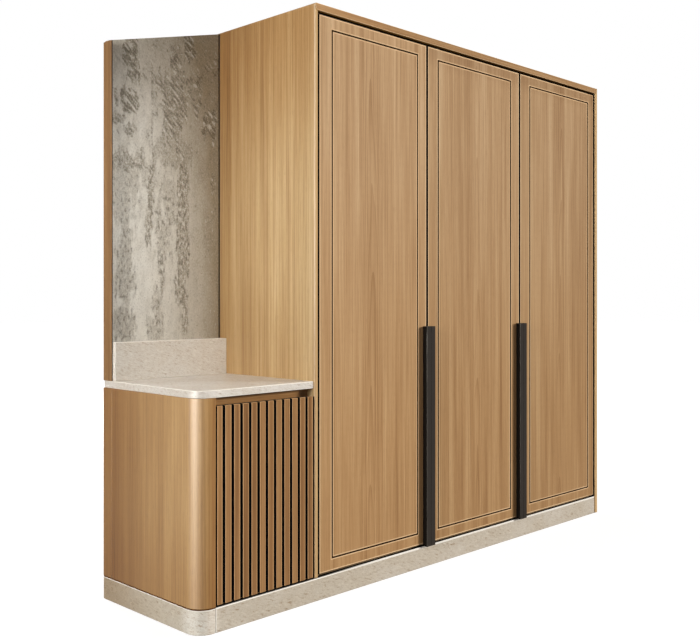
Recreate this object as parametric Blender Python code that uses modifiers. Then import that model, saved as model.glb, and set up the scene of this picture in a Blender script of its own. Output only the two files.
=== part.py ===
"""Hotel wardrobe: three hinged doors, with a counter niche and a slatted base cabinet at its left end.

Metres, +Z up.  The origin is the middle of the footprint on the floor, +X runs to the right along the
front and the front looks to -Y.  In the helper frame below, x counts from the left end and y counts back
from the front plane of the wardrobe frame.
"""

import bpy
import bmesh
from math import sin, cos, pi, radians
from mathutils import Matrix, Vector

# ---------------------------------------------------------------- driving dimensions (metres)
LENGTH = 2.648            # left end of the base cabinet to the outer face of the right side
HEIGHT = 2.300
DEPTH = 0.615             # front plane of the frame to the rear edges
GAP = 0.0003              # air between pieces that touch

SIDE_T = 0.019            # wardrobe sides and partition
TOP_T = 0.0270            # wardrobe top
WARD_X0 = 0.545           # outer face of the wardrobe's left side
WARD_X1 = LENGTH          # outer face of the right side

PLINTH_H = 0.0905
PLINTH_T = 0.020
PLINTH_JOINT = 0.0745     # joint between the corner piece and the front strip
PLINTH_END_GAP = 0.0075   # reveal between the front strip and the right side

DOOR_T = 0.020
DOOR_SETBACK = 0.004      # doors lie this far behind the frame's front plane
DOOR_Z0 = 0.0988
DOOR_Z1 = 2.2612
DOOR_SIDE_GAP = 0.0095
DOOR_GAP = 0.0105
SPLIT_12 = 1.2198         # middle of the gap between the left and middle doors
SPLIT_23 = 1.9210         # middle of the gap between the middle and right doors
GROOVE_INSET_X = 0.068
GROOVE_INSET_Z = 0.0490
GROOVE_W = 0.004
GROOVE_D = 0.003

HANDLE_PROUD = 0.024      # handle front in front of the door face
HANDLE_HALF = 0.028       # half the width of a pair of bars
HANDLE_SPLIT = 0.003      # slot between the two bars of a pair
HANDLE_Z0 = 0.0912
HANDLE_Z1 = 1.042
HANDLE_GRIP_D = 0.0035    # finger groove in the outer flank
HANDLE_GRIP_W = 0.009

DECK_T = 0.0178
BACK_T = 0.008
SHELF_T = 0.022
SHELF_FRONT = 0.032
HAT_SHELF_Z = 2.020       # underside
RAIL_Z = 1.950
RAIL_Y = 0.310
RAIL_R = 0.0125
RIGHT_SHELVES_Z = (0.780, 1.520)

CORNER_R = 0.066          # outer radius of the rounded corner
CAB_SIDE_T = 0.022
CAB_POST_X = 0.0752       # where the bent side ends at the front
CAB_INNER_X0 = 0.0532     # inner side that carries the hinges
CAB_TOP_Z = 0.8177
COUNTER_Z0 = 0.818
COUNTER_Z1 = 0.8455
COUNTER_SEAT = 0.001      # shallow rebate at the rear, in which the upstand and the niche back stand
FINGER_Y = 0.040          # depth of the finger recess
FINGER_T = 0.018
FINGER_Z0 = 0.748
CAB_SHELF_Z = 0.440

SLAT_X0 = 0.0797
SLAT_X1 = 0.5375
SLAT_Z0 = 0.0955
SLAT_Z1 = 0.7885
SLAT_COUNT = 12
SLAT_GAP = 0.0098
SLAT_D = 0.0102           # slat with its web
SLAT_WEB = 0.0022
SLAT_BOARD_T = 0.015

NICHE_STRIP_TOP = 2.156
NICHE_TOP_LEFT = 2.162    # top edge of the niche back, which rises towards the wardrobe
NICHE_TOP_RIGHT = 2.2925
NICHE_STRIP_T = 0.008
NICHE_STRIP_Y0 = 0.560
PLASTER_Y0 = 0.590
PLASTER_T = 0.008
UPSTAND_Y0 = 0.5445
UPSTAND_Z1 = 0.994

CUP_R = 0.0175
CUP_DEPTH = 0.0113
CUP_INSET = 0.0225        # cup axis from the door's edge
HINGES_Z = (0.205, 1.180, 2.155)
CAB_HINGES_Z = (0.200, 0.650)
ARM_W = 0.014

HANDLE_FRONT = DOOR_SETBACK - HANDLE_PROUD          # y of the handles' front faces
Y_MID = (DEPTH + HANDLE_FRONT) / 2.0

# derived lines
LEFT_IN = WARD_X0 + SIDE_T                           # inner face of the left side
RIGHT_IN = WARD_X1 - SIDE_T                          # inner face of the right side
PART_X0 = SPLIT_23 - SIDE_T / 2
PART_X1 = SPLIT_23 + SIDE_T / 2
DOOR_Y0 = DOOR_SETBACK
DOOR_Y1 = DOOR_SETBACK + DOOR_T
DECK_Z0 = PLINTH_H + 0.0002
DECK_Z1 = DECK_Z0 + DECK_T
BACK_Y0 = 0.598
TOP_Z0 = HEIGHT - TOP_T
MITRE_GAP = 0.0005

# hinge axes (x, y)
AXIS_LEFT = (LEFT_IN + DOOR_SIDE_GAP / 2, -0.001)
AXIS_MIDDLE = (SPLIT_23, HANDLE_FRONT - 0.0005)      # in the plane of the handle fronts, so the bars part cleanly
AXIS_RIGHT = (RIGHT_IN - DOOR_SIDE_GAP / 2, -0.001)
AXIS_SLAT = ((CAB_POST_X + SLAT_X0) / 2, -0.001)

# colour (linear), roughness, metallic
FINISHES = {
    "oak": ((0.445, 0.273, 0.141), 0.45, 0.0),
    "oak_light": ((0.560, 0.372, 0.205), 0.45, 0.0),
    "oak_dark": ((0.190, 0.105, 0.045), 0.55, 0.0),
    "carcass": ((0.520, 0.360, 0.210), 0.55, 0.0),
    "board": ((0.330, 0.240, 0.150), 0.75, 0.0),
    "stone": ((0.610, 0.545, 0.445), 0.35, 0.0),
    "plaster": ((0.400, 0.360, 0.300), 0.85, 0.0),
    "black_metal": ((0.042, 0.037, 0.033), 0.38, 0.8),
    "black_board": ((0.010, 0.009, 0.008), 0.70, 0.0),
    "steel": ((0.560, 0.560, 0.540), 0.30, 1.0),
    "chrome": ((0.750, 0.750, 0.740), 0.12, 1.0),
}

# ---------------------------------------------------------------- clear the scene, make the collections
for ob in list(bpy.data.objects):
    bpy.data.objects.remove(ob, do_unlink=True)

PARTS = bpy.data.collections.new("hotel_wardrobe")
CUTTERS = bpy.data.collections.new("hotel_wardrobe_cutters")
bpy.context.scene.collection.children.link(PARTS)
bpy.context.scene.collection.children.link(CUTTERS)

ANCHORS = {}


def anchor(name, x, y, z=0.0, parent=None):
    """An empty at (x, y, z) of the helper frame; pieces hang on it."""
    ob = bpy.data.objects.new(name, None)
    ob.empty_display_size = 0.05
    PARTS.objects.link(ob)
    here = Vector((x, y, z))
    if parent is None:
        ob.location = (-LENGTH / 2, -Y_MID, 0.0)
    else:
        ob.parent = ANCHORS[parent][0]
        ob.location = here - ANCHORS[parent][1]
    ANCHORS[name] = (ob, here)
    return ob


def dress(ob, finish):
    rgb, rough, metal = FINISHES[finish]
    mat = bpy.data.materials.new(ob.name + "_" + finish)
    mat.use_nodes = True
    bsdf = mat.node_tree.nodes["Principled BSDF"]
    bsdf.inputs["Base Color"].default_value = (*rgb, 1.0)
    bsdf.inputs["Roughness"].default_value = rough
    bsdf.inputs["Metallic"].default_value = metal
    mat.diffuse_color = (*rgb, 1.0)
    ob.data.materials.clear()
    ob.data.materials.append(mat)


def hang(ob, centre, on):
    """Put an object at a helper-frame point, under an anchor."""
    ob.parent = ANCHORS[on][0]
    ob.location = Vector(centre) - ANCHORS[on][1]


def as_cutter(ob):
    for coll in list(ob.users_collection):
        coll.objects.unlink(ob)
    CUTTERS.objects.link(ob)
    ob.hide_render = True
    ob.display_type = 'WIRE'


def from_bmesh(name, bm, finish):
    me = bpy.data.meshes.new(name)
    bmesh.ops.recalc_face_normals(bm, faces=bm.faces)
    bm.to_mesh(me)
    bm.free()
    ob = bpy.data.objects.new(name, me)
    PARTS.objects.link(ob)
    if finish:
        dress(ob, finish)
    return ob


def box(name, x, y, z, finish, on="wardrobe"):
    """A board between x=(low, high), y=(low, high), z=(low, high)."""
    bm = bmesh.new()
    bmesh.ops.create_cube(bm, size=1.0)
    bmesh.ops.scale(bm, vec=(x[1] - x[0], y[1] - y[0], z[1] - z[0]), verts=bm.verts)
    ob = from_bmesh(name, bm, finish)
    hang(ob, ((x[0] + x[1]) / 2, (y[0] + y[1]) / 2, (z[0] + z[1]) / 2), on)
    return ob


def prism(name, loops, low, high, finish, on="wardrobe", plane="XY"):
    """A flat outline, given as closed loops in the helper frame, extruded from low to high.

    plane XY runs along Z, and plane XZ runs along Y.
    """
    xs = [p[0] for p in loops[0]]
    ys = [p[1] for p in loops[0]]
    cx, cy = (min(xs) + max(xs)) / 2, (min(ys) + max(ys)) / 2
    curve = bpy.data.curves.new(name, 'CURVE')
    curve.dimensions = '2D'
    curve.fill_mode = 'BOTH'
    curve.extrude = (high - low) / 2
    for loop in loops:
        spline = curve.splines.new('POLY')
        spline.points.add(len(loop) - 1)
        for point, (px, py) in zip(spline.points, loop):
            point.co = (px - cx, py - cy, 0.0, 1.0)
        spline.use_cyclic_u = True
    guide = bpy.data.objects.new(name + "_outline", curve)
    PARTS.objects.link(guide)
    depsgraph = bpy.context.evaluated_depsgraph_get()
    depsgraph.update()
    me = bpy.data.meshes.new_from_object(guide.evaluated_get(depsgraph))
    bpy.data.objects.remove(guide, do_unlink=True)
    bpy.data.curves.remove(curve)
    bm = bmesh.new()
    bm.from_mesh(me)
    bpy.data.meshes.remove(me)
    bmesh.ops.remove_doubles(bm, verts=bm.verts, dist=0.00001)
    ob = from_bmesh(name, bm, finish)
    if plane == "XY":
        hang(ob, (cx, cy, (low + high) / 2), on)
    else:
        ob.rotation_euler = (pi / 2, 0.0, 0.0)
        hang(ob, (cx, (low + high) / 2, cy), on)
    return ob


def turned(name, profile, steps, centre, rotation, finish, on="wardrobe"):
    """A profile of (radius, height) points, turned about the object's Z axis."""
    me = bpy.data.meshes.new(name)
    me.from_pydata([(r, 0.0, h) for r, h in profile], [(i, i + 1) for i in range(len(profile) - 1)], [])
    ob = bpy.data.objects.new(name, me)
    PARTS.objects.link(ob)
    screw = ob.modifiers.new("turn", 'SCREW')
    screw.axis = 'Z'
    screw.angle = 2 * pi
    screw.steps = steps
    screw.render_steps = steps
    screw.use_merge_vertices = True
    screw.merge_threshold = 0.00001
    screw.use_smooth_shade = False
    dress(ob, finish)
    ob.rotation_euler = rotation
    hang(ob, centre, on)
    return ob


def cut(ob, cutter):
    mod = ob.modifiers.new("cut_" + cutter.name, 'BOOLEAN')
    mod.operation = 'DIFFERENCE'
    mod.solver = 'EXACT'
    mod.object = cutter


def arc(cx, cy, r, a0, a1, n):
    """Points from angle a0 to a1 (degrees) about (cx, cy)."""
    return [(cx + r * cos(radians(a0 + (a1 - a0) * i / n)), cy + r * sin(radians(a0 + (a1 - a0) * i / n)))
            for i in range(n + 1)]


def bent_strip(front_x, thickness, rear_y):
    """Plan of a strip that runs back from (front_x, 0), round the front left corner and along the left side."""
    outer = arc(CORNER_R, CORNER_R, CORNER_R, 270, 180, 14)
    inner = arc(CORNER_R, CORNER_R, CORNER_R - thickness, 180, 270, 14)
    return [(front_x, 0.0)] + outer + [(0.0, rear_y), (thickness, rear_y)] + inner + [(front_x, thickness)]


# ---------------------------------------------------------------- anchors: the frame and the hinge axes
anchor("wardrobe", 0.0, 0.0)
anchor("left_door_axis", *AXIS_LEFT, parent="wardrobe")
anchor("middle_door_axis", *AXIS_MIDDLE, parent="wardrobe")
anchor("right_door_axis", *AXIS_RIGHT, parent="wardrobe")
anchor("slat_door_axis", *AXIS_SLAT, parent="wardrobe")

# ---------------------------------------------------------------- base: stone plinth and rails
prism("plinth_corner", [bent_strip(PLINTH_JOINT - 0.0005, PLINTH_T, DEPTH)], 0.0, PLINTH_H, "stone")
box("plinth_front", (PLINTH_JOINT + 0.0005, RIGHT_IN - PLINTH_END_GAP), (0.0, PLINTH_T), (0.0, PLINTH_H), "stone")
RAIL_TOP = PLINTH_H - 0.0001
box("base_rail_front", (0.080, RIGHT_IN - GAP), (PLINTH_T + GAP, PLINTH_T + 0.018), (0.0, RAIL_TOP), "board")
box("base_rail_rear", (PLINTH_T + 0.005, RIGHT_IN - GAP), (0.560, 0.578), (0.0, RAIL_TOP), "board")
box("base_cross_left", (WARD_X0, LEFT_IN), (PLINTH_T + 0.018 + GAP, 0.560 - GAP), (0.0, RAIL_TOP), "board")
box("base_cross_middle", (PART_X0, PART_X1), (PLINTH_T + 0.018 + GAP, 0.560 - GAP), (0.0, RAIL_TOP), "board")

# ---------------------------------------------------------------- wardrobe carcass
side_z0 = PLINTH_H + 0.0004
prism("wardrobe_left_side",
      [[(WARD_X0, side_z0), (LEFT_IN, side_z0), (LEFT_IN, TOP_Z0 - MITRE_GAP), (WARD_X0, HEIGHT - MITRE_GAP)]],
      0.0, DEPTH, "oak_light", plane="XZ")
prism("wardrobe_right_side",
      [[(RIGHT_IN, 0.0), (WARD_X1, 0.0), (WARD_X1, HEIGHT - MITRE_GAP), (RIGHT_IN, TOP_Z0 - MITRE_GAP)]],
      0.0, DEPTH, "oak_light", plane="XZ")
prism("wardrobe_top",
      [[(LEFT_IN, TOP_Z0), (RIGHT_IN, TOP_Z0), (WARD_X1, HEIGHT), (WARD_X0, HEIGHT)]],
      0.0, DEPTH, "oak", plane="XZ")
box("wardrobe_deck", (LEFT_IN + GAP, RIGHT_IN - GAP), (0.0285, BACK_Y0 - GAP), (DECK_Z0, DECK_Z1), "carcass")
box("wardrobe_back", (LEFT_IN + GAP, RIGHT_IN - GAP), (BACK_Y0, BACK_Y0 + BACK_T), (DECK_Z0, TOP_Z0 - GAP), "board")
box("wardrobe_partition", (PART_X0, PART_X1), (0.0290, BACK_Y0 - GAP), (DECK_Z1 + GAP, TOP_Z0 - GAP), "carcass")
box("hat_shelf", (LEFT_IN + GAP, PART_X0 - GAP), (SHELF_FRONT, BACK_Y0 - GAP),
    (HAT_SHELF_Z, HAT_SHELF_Z + SHELF_T), "carcass")
for shelf, z in zip(("right_shelf_lower", "right_shelf_upper"), RIGHT_SHELVES_Z):
    box(shelf, (PART_X1 + GAP, RIGHT_IN - GAP), (SHELF_FRONT, BACK_Y0 - GAP), (z, z + SHELF_T), "carcass")

# hanging rail: a round tube in two flanged sockets
SOCKET_D = 0.014
SOCKET = [(0.0, SOCKET_D * 0.3), (RAIL_R + GAP, SOCKET_D * 0.3), (RAIL_R + GAP, SOCKET_D), (RAIL_R + 0.003, SOCKET_D),
          (RAIL_R + 0.004, 0.004), (RAIL_R + 0.010, 0.003), (RAIL_R + 0.010, 0.0), (0.0, 0.0)]
turned("rail_socket_left", SOCKET, 24, (LEFT_IN + GAP, RAIL_Y, RAIL_Z), (0.0, pi / 2, 0.0), "chrome")
turned("rail_socket_right", SOCKET, 24, (PART_X0 - GAP, RAIL_Y, RAIL_Z), (0.0, -pi / 2, 0.0), "chrome")
rail_x0 = LEFT_IN + GAP + SOCKET_D * 0.3 + GAP
rail_x1 = PART_X0 - GAP - SOCKET_D * 0.3 - GAP
bm = bmesh.new()
bmesh.ops.create_cone(bm, cap_ends=True, segments=24, radius1=RAIL_R, radius2=RAIL_R, depth=rail_x1 - rail_x0)
rail = from_bmesh("hanging_rail", bm, "chrome")
rail.rotation_euler = (0.0, pi / 2, 0.0)
hang(rail, ((rail_x0 + rail_x1) / 2, RAIL_Y, RAIL_Z), "wardrobe")
rail.data.shade_smooth()
rail.data.set_sharp_from_angle(angle=radians(40))

# ---------------------------------------------------------------- base cabinet, counter and niche
cab_x1 = WARD_X0 - GAP
prism("cabinet_side_curved", [bent_strip(CAB_POST_X, CAB_SIDE_T, DEPTH)], PLINTH_H + GAP, CAB_TOP_Z, "oak")
box("cabinet_inner_side", (CAB_INNER_X0, CAB_POST_X), (0.0262, BACK_Y0 - GAP), (DECK_Z0, CAB_TOP_Z), "carcass")
box("cabinet_deck", (CAB_POST_X + GAP, cab_x1), (0.0285, BACK_Y0 - GAP), (DECK_Z0, DECK_Z1), "carcass")
box("cabinet_back", (CAB_SIDE_T + GAP, cab_x1), (BACK_Y0, BACK_Y0 + BACK_T), (DECK_Z0, CAB_TOP_Z), "board")
box("cabinet_shelf", (CAB_POST_X + GAP, cab_x1), (SHELF_FRONT + 0.040, BACK_Y0 - GAP),
    (CAB_SHELF_Z, CAB_SHELF_Z + SHELF_T), "carcass")
box("finger_rail", (CAB_POST_X + GAP, cab_x1), (FINGER_Y, FINGER_Y + FINGER_T), (FINGER_Z0, CAB_TOP_Z), "oak_dark")

prism("countertop",
      [arc(CORNER_R, CORNER_R, CORNER_R, 180, 270, 14) + [(cab_x1, 0.0), (cab_x1, DEPTH), (0.0, DEPTH)]],
      COUNTER_Z0, COUNTER_Z1, "stone")
seat = box("counter_rebate", (-0.010, cab_x1 + 0.010), (UPSTAND_Y0 - GAP, DEPTH + 0.010),
           (COUNTER_Z1 - COUNTER_SEAT, COUNTER_Z1 + 0.010), None)
as_cutter(seat)
cut(bpy.data.objects["countertop"], seat)
niche_z0 = COUNTER_Z1 - COUNTER_SEAT + GAP
niche_x0 = NICHE_STRIP_T + GAP
niche_back = [[(niche_x0, niche_z0), (cab_x1, niche_z0), (cab_x1, NICHE_TOP_RIGHT), (niche_x0, NICHE_TOP_LEFT)]]
box("niche_edge_strip", (0.0, NICHE_STRIP_T), (NICHE_STRIP_Y0, DEPTH), (niche_z0, NICHE_STRIP_TOP), "oak_light")
box("upstand", (niche_x0, cab_x1), (UPSTAND_Y0, PLASTER_Y0 - GAP), (niche_z0, UPSTAND_Z1), "stone")
prism("plaster_panel", niche_back, PLASTER_Y0, PLASTER_Y0 + PLASTER_T, "plaster", plane="XZ")
prism("niche_back_board", niche_back, PLASTER_Y0 + PLASTER_T + GAP, DEPTH, "board", plane="XZ")


# ---------------------------------------------------------------- concealed hinges
def cup_cutter(name, xs, y_face, zs, on):
    """Blind bores for the hinge cups, opening backwards."""
    bm = bmesh.new()
    depth = CUP_DEPTH + 0.0005 + 0.004
    for x in xs:
        for z in zs:
            place = Matrix.Translation((x - xs[0], 0.0, z - zs[0])) @ Matrix.Rotation(pi / 2, 4, 'X')
            bmesh.ops.create_cone(bm, cap_ends=True, segments=24, radius1=CUP_R + GAP, radius2=CUP_R + GAP,
                                  depth=depth, matrix=place)
    ob = from_bmesh(name, bm, None)
    hang(ob, (xs[0], y_face - CUP_DEPTH - 0.0005 + depth / 2, zs[0]), on)
    as_cutter(ob)
    return ob


CUP = [(0.0, -CUP_DEPTH + 0.0012), (CUP_R - 0.0014, -CUP_DEPTH + 0.0012), (CUP_R - 0.0014, 0.0015),
       (CUP_R + 0.0035, 0.0015), (CUP_R + 0.0035, GAP), (CUP_R, GAP), (CUP_R, -CUP_DEPTH), (0.0, -CUP_DEPTH)]


def hinge_cup(name, x, y_face, z, on):
    return turned(name, CUP, 24, (x, y_face, z), (-pi / 2, 0.0, 0.0), "steel", on)


def hinge_arm(name, x_face, side, reach, y_door, z):
    """Plate and arm on a panel face at x_face; side is +1 where the compartment lies to the right of the face."""
    nose = y_door + 0.0030
    outline = [(GAP, nose + 0.072), (0.006, nose + 0.072), (0.006, nose + 0.060), (0.013, nose + 0.056),
               (0.015, nose + 0.030), (reach + 0.006, nose + 0.010), (reach + 0.006, nose), (reach - 0.006, nose),
               (0.005, nose + 0.016), (GAP, nose + 0.016)]
    loop = [(x_face + side * a, b) for a, b in outline]
    if side > 0:
        loop.reverse()
    return prism(name, [loop], z - ARM_W / 2, z + ARM_W / 2, "steel")


# ---------------------------------------------------------------- tall doors with their bars and hinges
def groove_cutter(name, x0, x1, on):
    """Ring that cuts the fine groove line into a door's face."""
    gx0, gx1 = x0 + GROOVE_INSET_X, x1 - GROOVE_INSET_X
    gz0, gz1 = DOOR_Z0 + GROOVE_INSET_Z, DOOR_Z1 - GROOVE_INSET_Z
    w = GROOVE_W
    outer = [(gx0, gz0), (gx1, gz0), (gx1, gz1), (gx0, gz1)]
    inner = [(gx0 + w, gz0 + w), (gx0 + w, gz1 - w), (gx1 - w, gz1 - w), (gx1 - w, gz0 + w)]
    ob = prism(name, [outer, inner], DOOR_Y0 - 0.004, DOOR_Y0 + GROOVE_D, None, on=on, plane="XZ")
    as_cutter(ob)
    return ob


def handle_bar(name, split_x, side, on):
    """One bar of a pair; side is -1 for the bar left of the gap."""
    y0, y1 = HANDLE_FRONT, DOOR_Y0 - GAP
    inner, outer = HANDLE_SPLIT / 2, HANDLE_HALF
    g0 = (y0 + y1) / 2 + 0.0005
    c = 0.0012
    outline = [(inner, y1), (inner, y0 + c), (inner + c, y0), (outer - c, y0), (outer, y0 + c), (outer, g0),
               (outer - HANDLE_GRIP_D, g0 + 0.001), (outer - HANDLE_GRIP_D, g0 + HANDLE_GRIP_W - 0.001),
               (outer, g0 + HANDLE_GRIP_W), (outer, y1)]
    loop = [(split_x + side * a, b) for a, b in outline]
    return prism(name, [loop], HANDLE_Z0, HANDLE_Z1, "black_metal", on=on)


def tall_door(word, x0, x1, on, hinge_x, face_x, side):
    door = box("door_" + word, (x0, x1), (DOOR_Y0, DOOR_Y1), (DOOR_Z0, DOOR_Z1), "oak", on=on)
    cut(door, groove_cutter("groove_" + word, x0, x1, on))
    cut(door, cup_cutter("cups_" + word, [hinge_x], DOOR_Y1, HINGES_Z, on))
    for place, z in zip(("bottom", "middle", "top"), HINGES_Z):
        hinge_cup("hinge_cup_%s_%s" % (word, place), hinge_x, DOOR_Y1, z, on)
        hinge_arm("hinge_arm_%s_%s" % (word, place), face_x, side, abs(hinge_x - face_x), DOOR_Y1, z)


left_x = (LEFT_IN + DOOR_SIDE_GAP, SPLIT_12 - DOOR_GAP / 2)
middle_x = (SPLIT_12 + DOOR_GAP / 2, SPLIT_23 - DOOR_GAP / 2)
right_x = (SPLIT_23 + DOOR_GAP / 2, RIGHT_IN - DOOR_SIDE_GAP)
tall_door("left", *left_x, "left_door_axis", left_x[0] + CUP_INSET, LEFT_IN, 1)
tall_door("middle", *middle_x, "middle_door_axis", middle_x[1] - CUP_INSET, PART_X0, -1)
tall_door("right", *right_x, "right_door_axis", right_x[1] - CUP_INSET, RIGHT_IN, -1)
handle_bar("handle_left_outer", SPLIT_12, -1, "left_door_axis")
handle_bar("handle_left_inner", SPLIT_12, 1, "middle_door_axis")
handle_bar("handle_right_inner", SPLIT_23, -1, "middle_door_axis")
handle_bar("handle_right_outer", SPLIT_23, 1, "right_door_axis")

# ---------------------------------------------------------------- slatted door of the base cabinet
slat_w = (SLAT_X1 - SLAT_X0 - (SLAT_COUNT - 1) * SLAT_GAP) / SLAT_COUNT
comb = [(SLAT_X0, SLAT_D), (SLAT_X0, 0.0)]
for i in range(SLAT_COUNT):
    right = SLAT_X0 + i * (slat_w + SLAT_GAP) + slat_w
    comb.append((right, 0.0))
    if i < SLAT_COUNT - 1:
        comb += [(right, SLAT_D - SLAT_WEB), (right + SLAT_GAP, SLAT_D - SLAT_WEB), (right + SLAT_GAP, 0.0)]
comb.append((SLAT_X1, SLAT_D))
prism("slat_screen", [comb], SLAT_Z0, SLAT_Z1, "oak", on="slat_door_axis")
slat_rear = SLAT_D + GAP + SLAT_BOARD_T
slat_board = box("slat_door_board", (SLAT_X0, SLAT_X1), (SLAT_D + GAP, slat_rear), (SLAT_Z0, SLAT_Z1),
                 "black_board", on="slat_door_axis")
slat_hinge_x = SLAT_X0 + CUP_INSET
cut(slat_board, cup_cutter("cups_slat", [slat_hinge_x], slat_rear, CAB_HINGES_Z, "slat_door_axis"))
for place, z in zip(("bottom", "top"), CAB_HINGES_Z):
    hinge_cup("hinge_cup_slat_%s" % place, slat_hinge_x, slat_rear, z, "slat_door_axis")
    hinge_arm("hinge_arm_slat_%s" % place, CAB_POST_X, 1, slat_hinge_x - CAB_POST_X, slat_rear, z)
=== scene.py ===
from math import sin, cos, acos, pi, radians, degrees, sqrt

import bpy
import bmesh
from mathutils import Vector, Matrix, noise as mnoise


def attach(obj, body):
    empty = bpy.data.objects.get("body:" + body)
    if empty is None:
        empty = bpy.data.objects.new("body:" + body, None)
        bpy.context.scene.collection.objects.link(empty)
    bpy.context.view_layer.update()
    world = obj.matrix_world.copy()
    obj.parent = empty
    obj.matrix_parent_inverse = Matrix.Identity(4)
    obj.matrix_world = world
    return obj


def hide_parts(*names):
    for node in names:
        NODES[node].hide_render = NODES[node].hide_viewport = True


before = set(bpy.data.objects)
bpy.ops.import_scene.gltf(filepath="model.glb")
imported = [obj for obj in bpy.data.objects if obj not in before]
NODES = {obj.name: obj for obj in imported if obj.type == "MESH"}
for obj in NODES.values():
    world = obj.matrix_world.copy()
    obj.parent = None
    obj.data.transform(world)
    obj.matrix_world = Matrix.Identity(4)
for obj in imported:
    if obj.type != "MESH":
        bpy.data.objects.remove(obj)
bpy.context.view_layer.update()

# ---------------------------------------------------------------- the frame's sizes, as in the CAD source
# Helper frame: x from the left end, y back from the front plane, z up.
DX, DY = -1.324, -0.2975
LENGTH, HEIGHT, DEPTH = 2.648, 2.300, 0.615
SIDE_T, TOP_T, WARD_X0 = 0.019, 0.0270, 0.545
LEFT_IN, RIGHT_IN = WARD_X0 + SIDE_T, LENGTH - SIDE_T
TOP_Z0 = HEIGHT - TOP_T
PLINTH_H, PLINTH_T, PLINTH_JOINT, PLINTH_END = 0.0905, 0.020, 0.0745, 2.6215
DOOR_Y0, DOOR_Y1, DOOR_Z0, DOOR_Z1 = 0.004, 0.024, 0.0988, 2.2612
DOORS = {"left": (0.5735, 1.21455), "middle": (1.22505, 1.91575), "right": (1.92625, 2.6195)}
GROOVE_X, GROOVE_Z, GROOVE_W, GROOVE_D = 0.068, 0.0490, 0.004, 0.003
SPLIT_12, SPLIT_23 = 1.2198, 1.9210
HANDLE_Y0, HANDLE_Y1, HANDLE_HALF = -0.020, 0.0037, 0.028
HANDLE_Z0, HANDLE_Z1 = 0.0912, 1.042
CORNER_R, CAB_SIDE_T, CAB_POST_X, CAB_TOP_Z = 0.066, 0.022, 0.0752, 0.8177
COUNTER_Z0, COUNTER_Z1, CAB_X1 = 0.818, 0.8455, 0.5447
SLAT_X0, SLAT_X1, SLAT_Z0, SLAT_Z1, SLATS, SLAT_GAP = 0.0797, 0.5375, 0.0955, 0.7885, 12, 0.0098
STRIP_TOP, NICHE_LEFT, NICHE_RIGHT, NICHE_Z0 = 2.156, 2.162, 2.2925, 0.8457
BACK_Y1 = 0.606            # rear face of the back boards
CUP_R, CUP_DEPTH, CUP_INSET = 0.0175, 0.0113, 0.0225
HINGES_Z = (0.205, 1.180, 2.155)
SEAM_Y = 0.5545            # joint between the bent side and its rear scribe strip
RIM_HIGHLIGHT_W = 0.0066           # width of the paler band round a door's face: a painted highlight along its edge
REBATE_Y = 0.0262          # depth of the dark band behind the doors' front: painted shade
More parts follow.
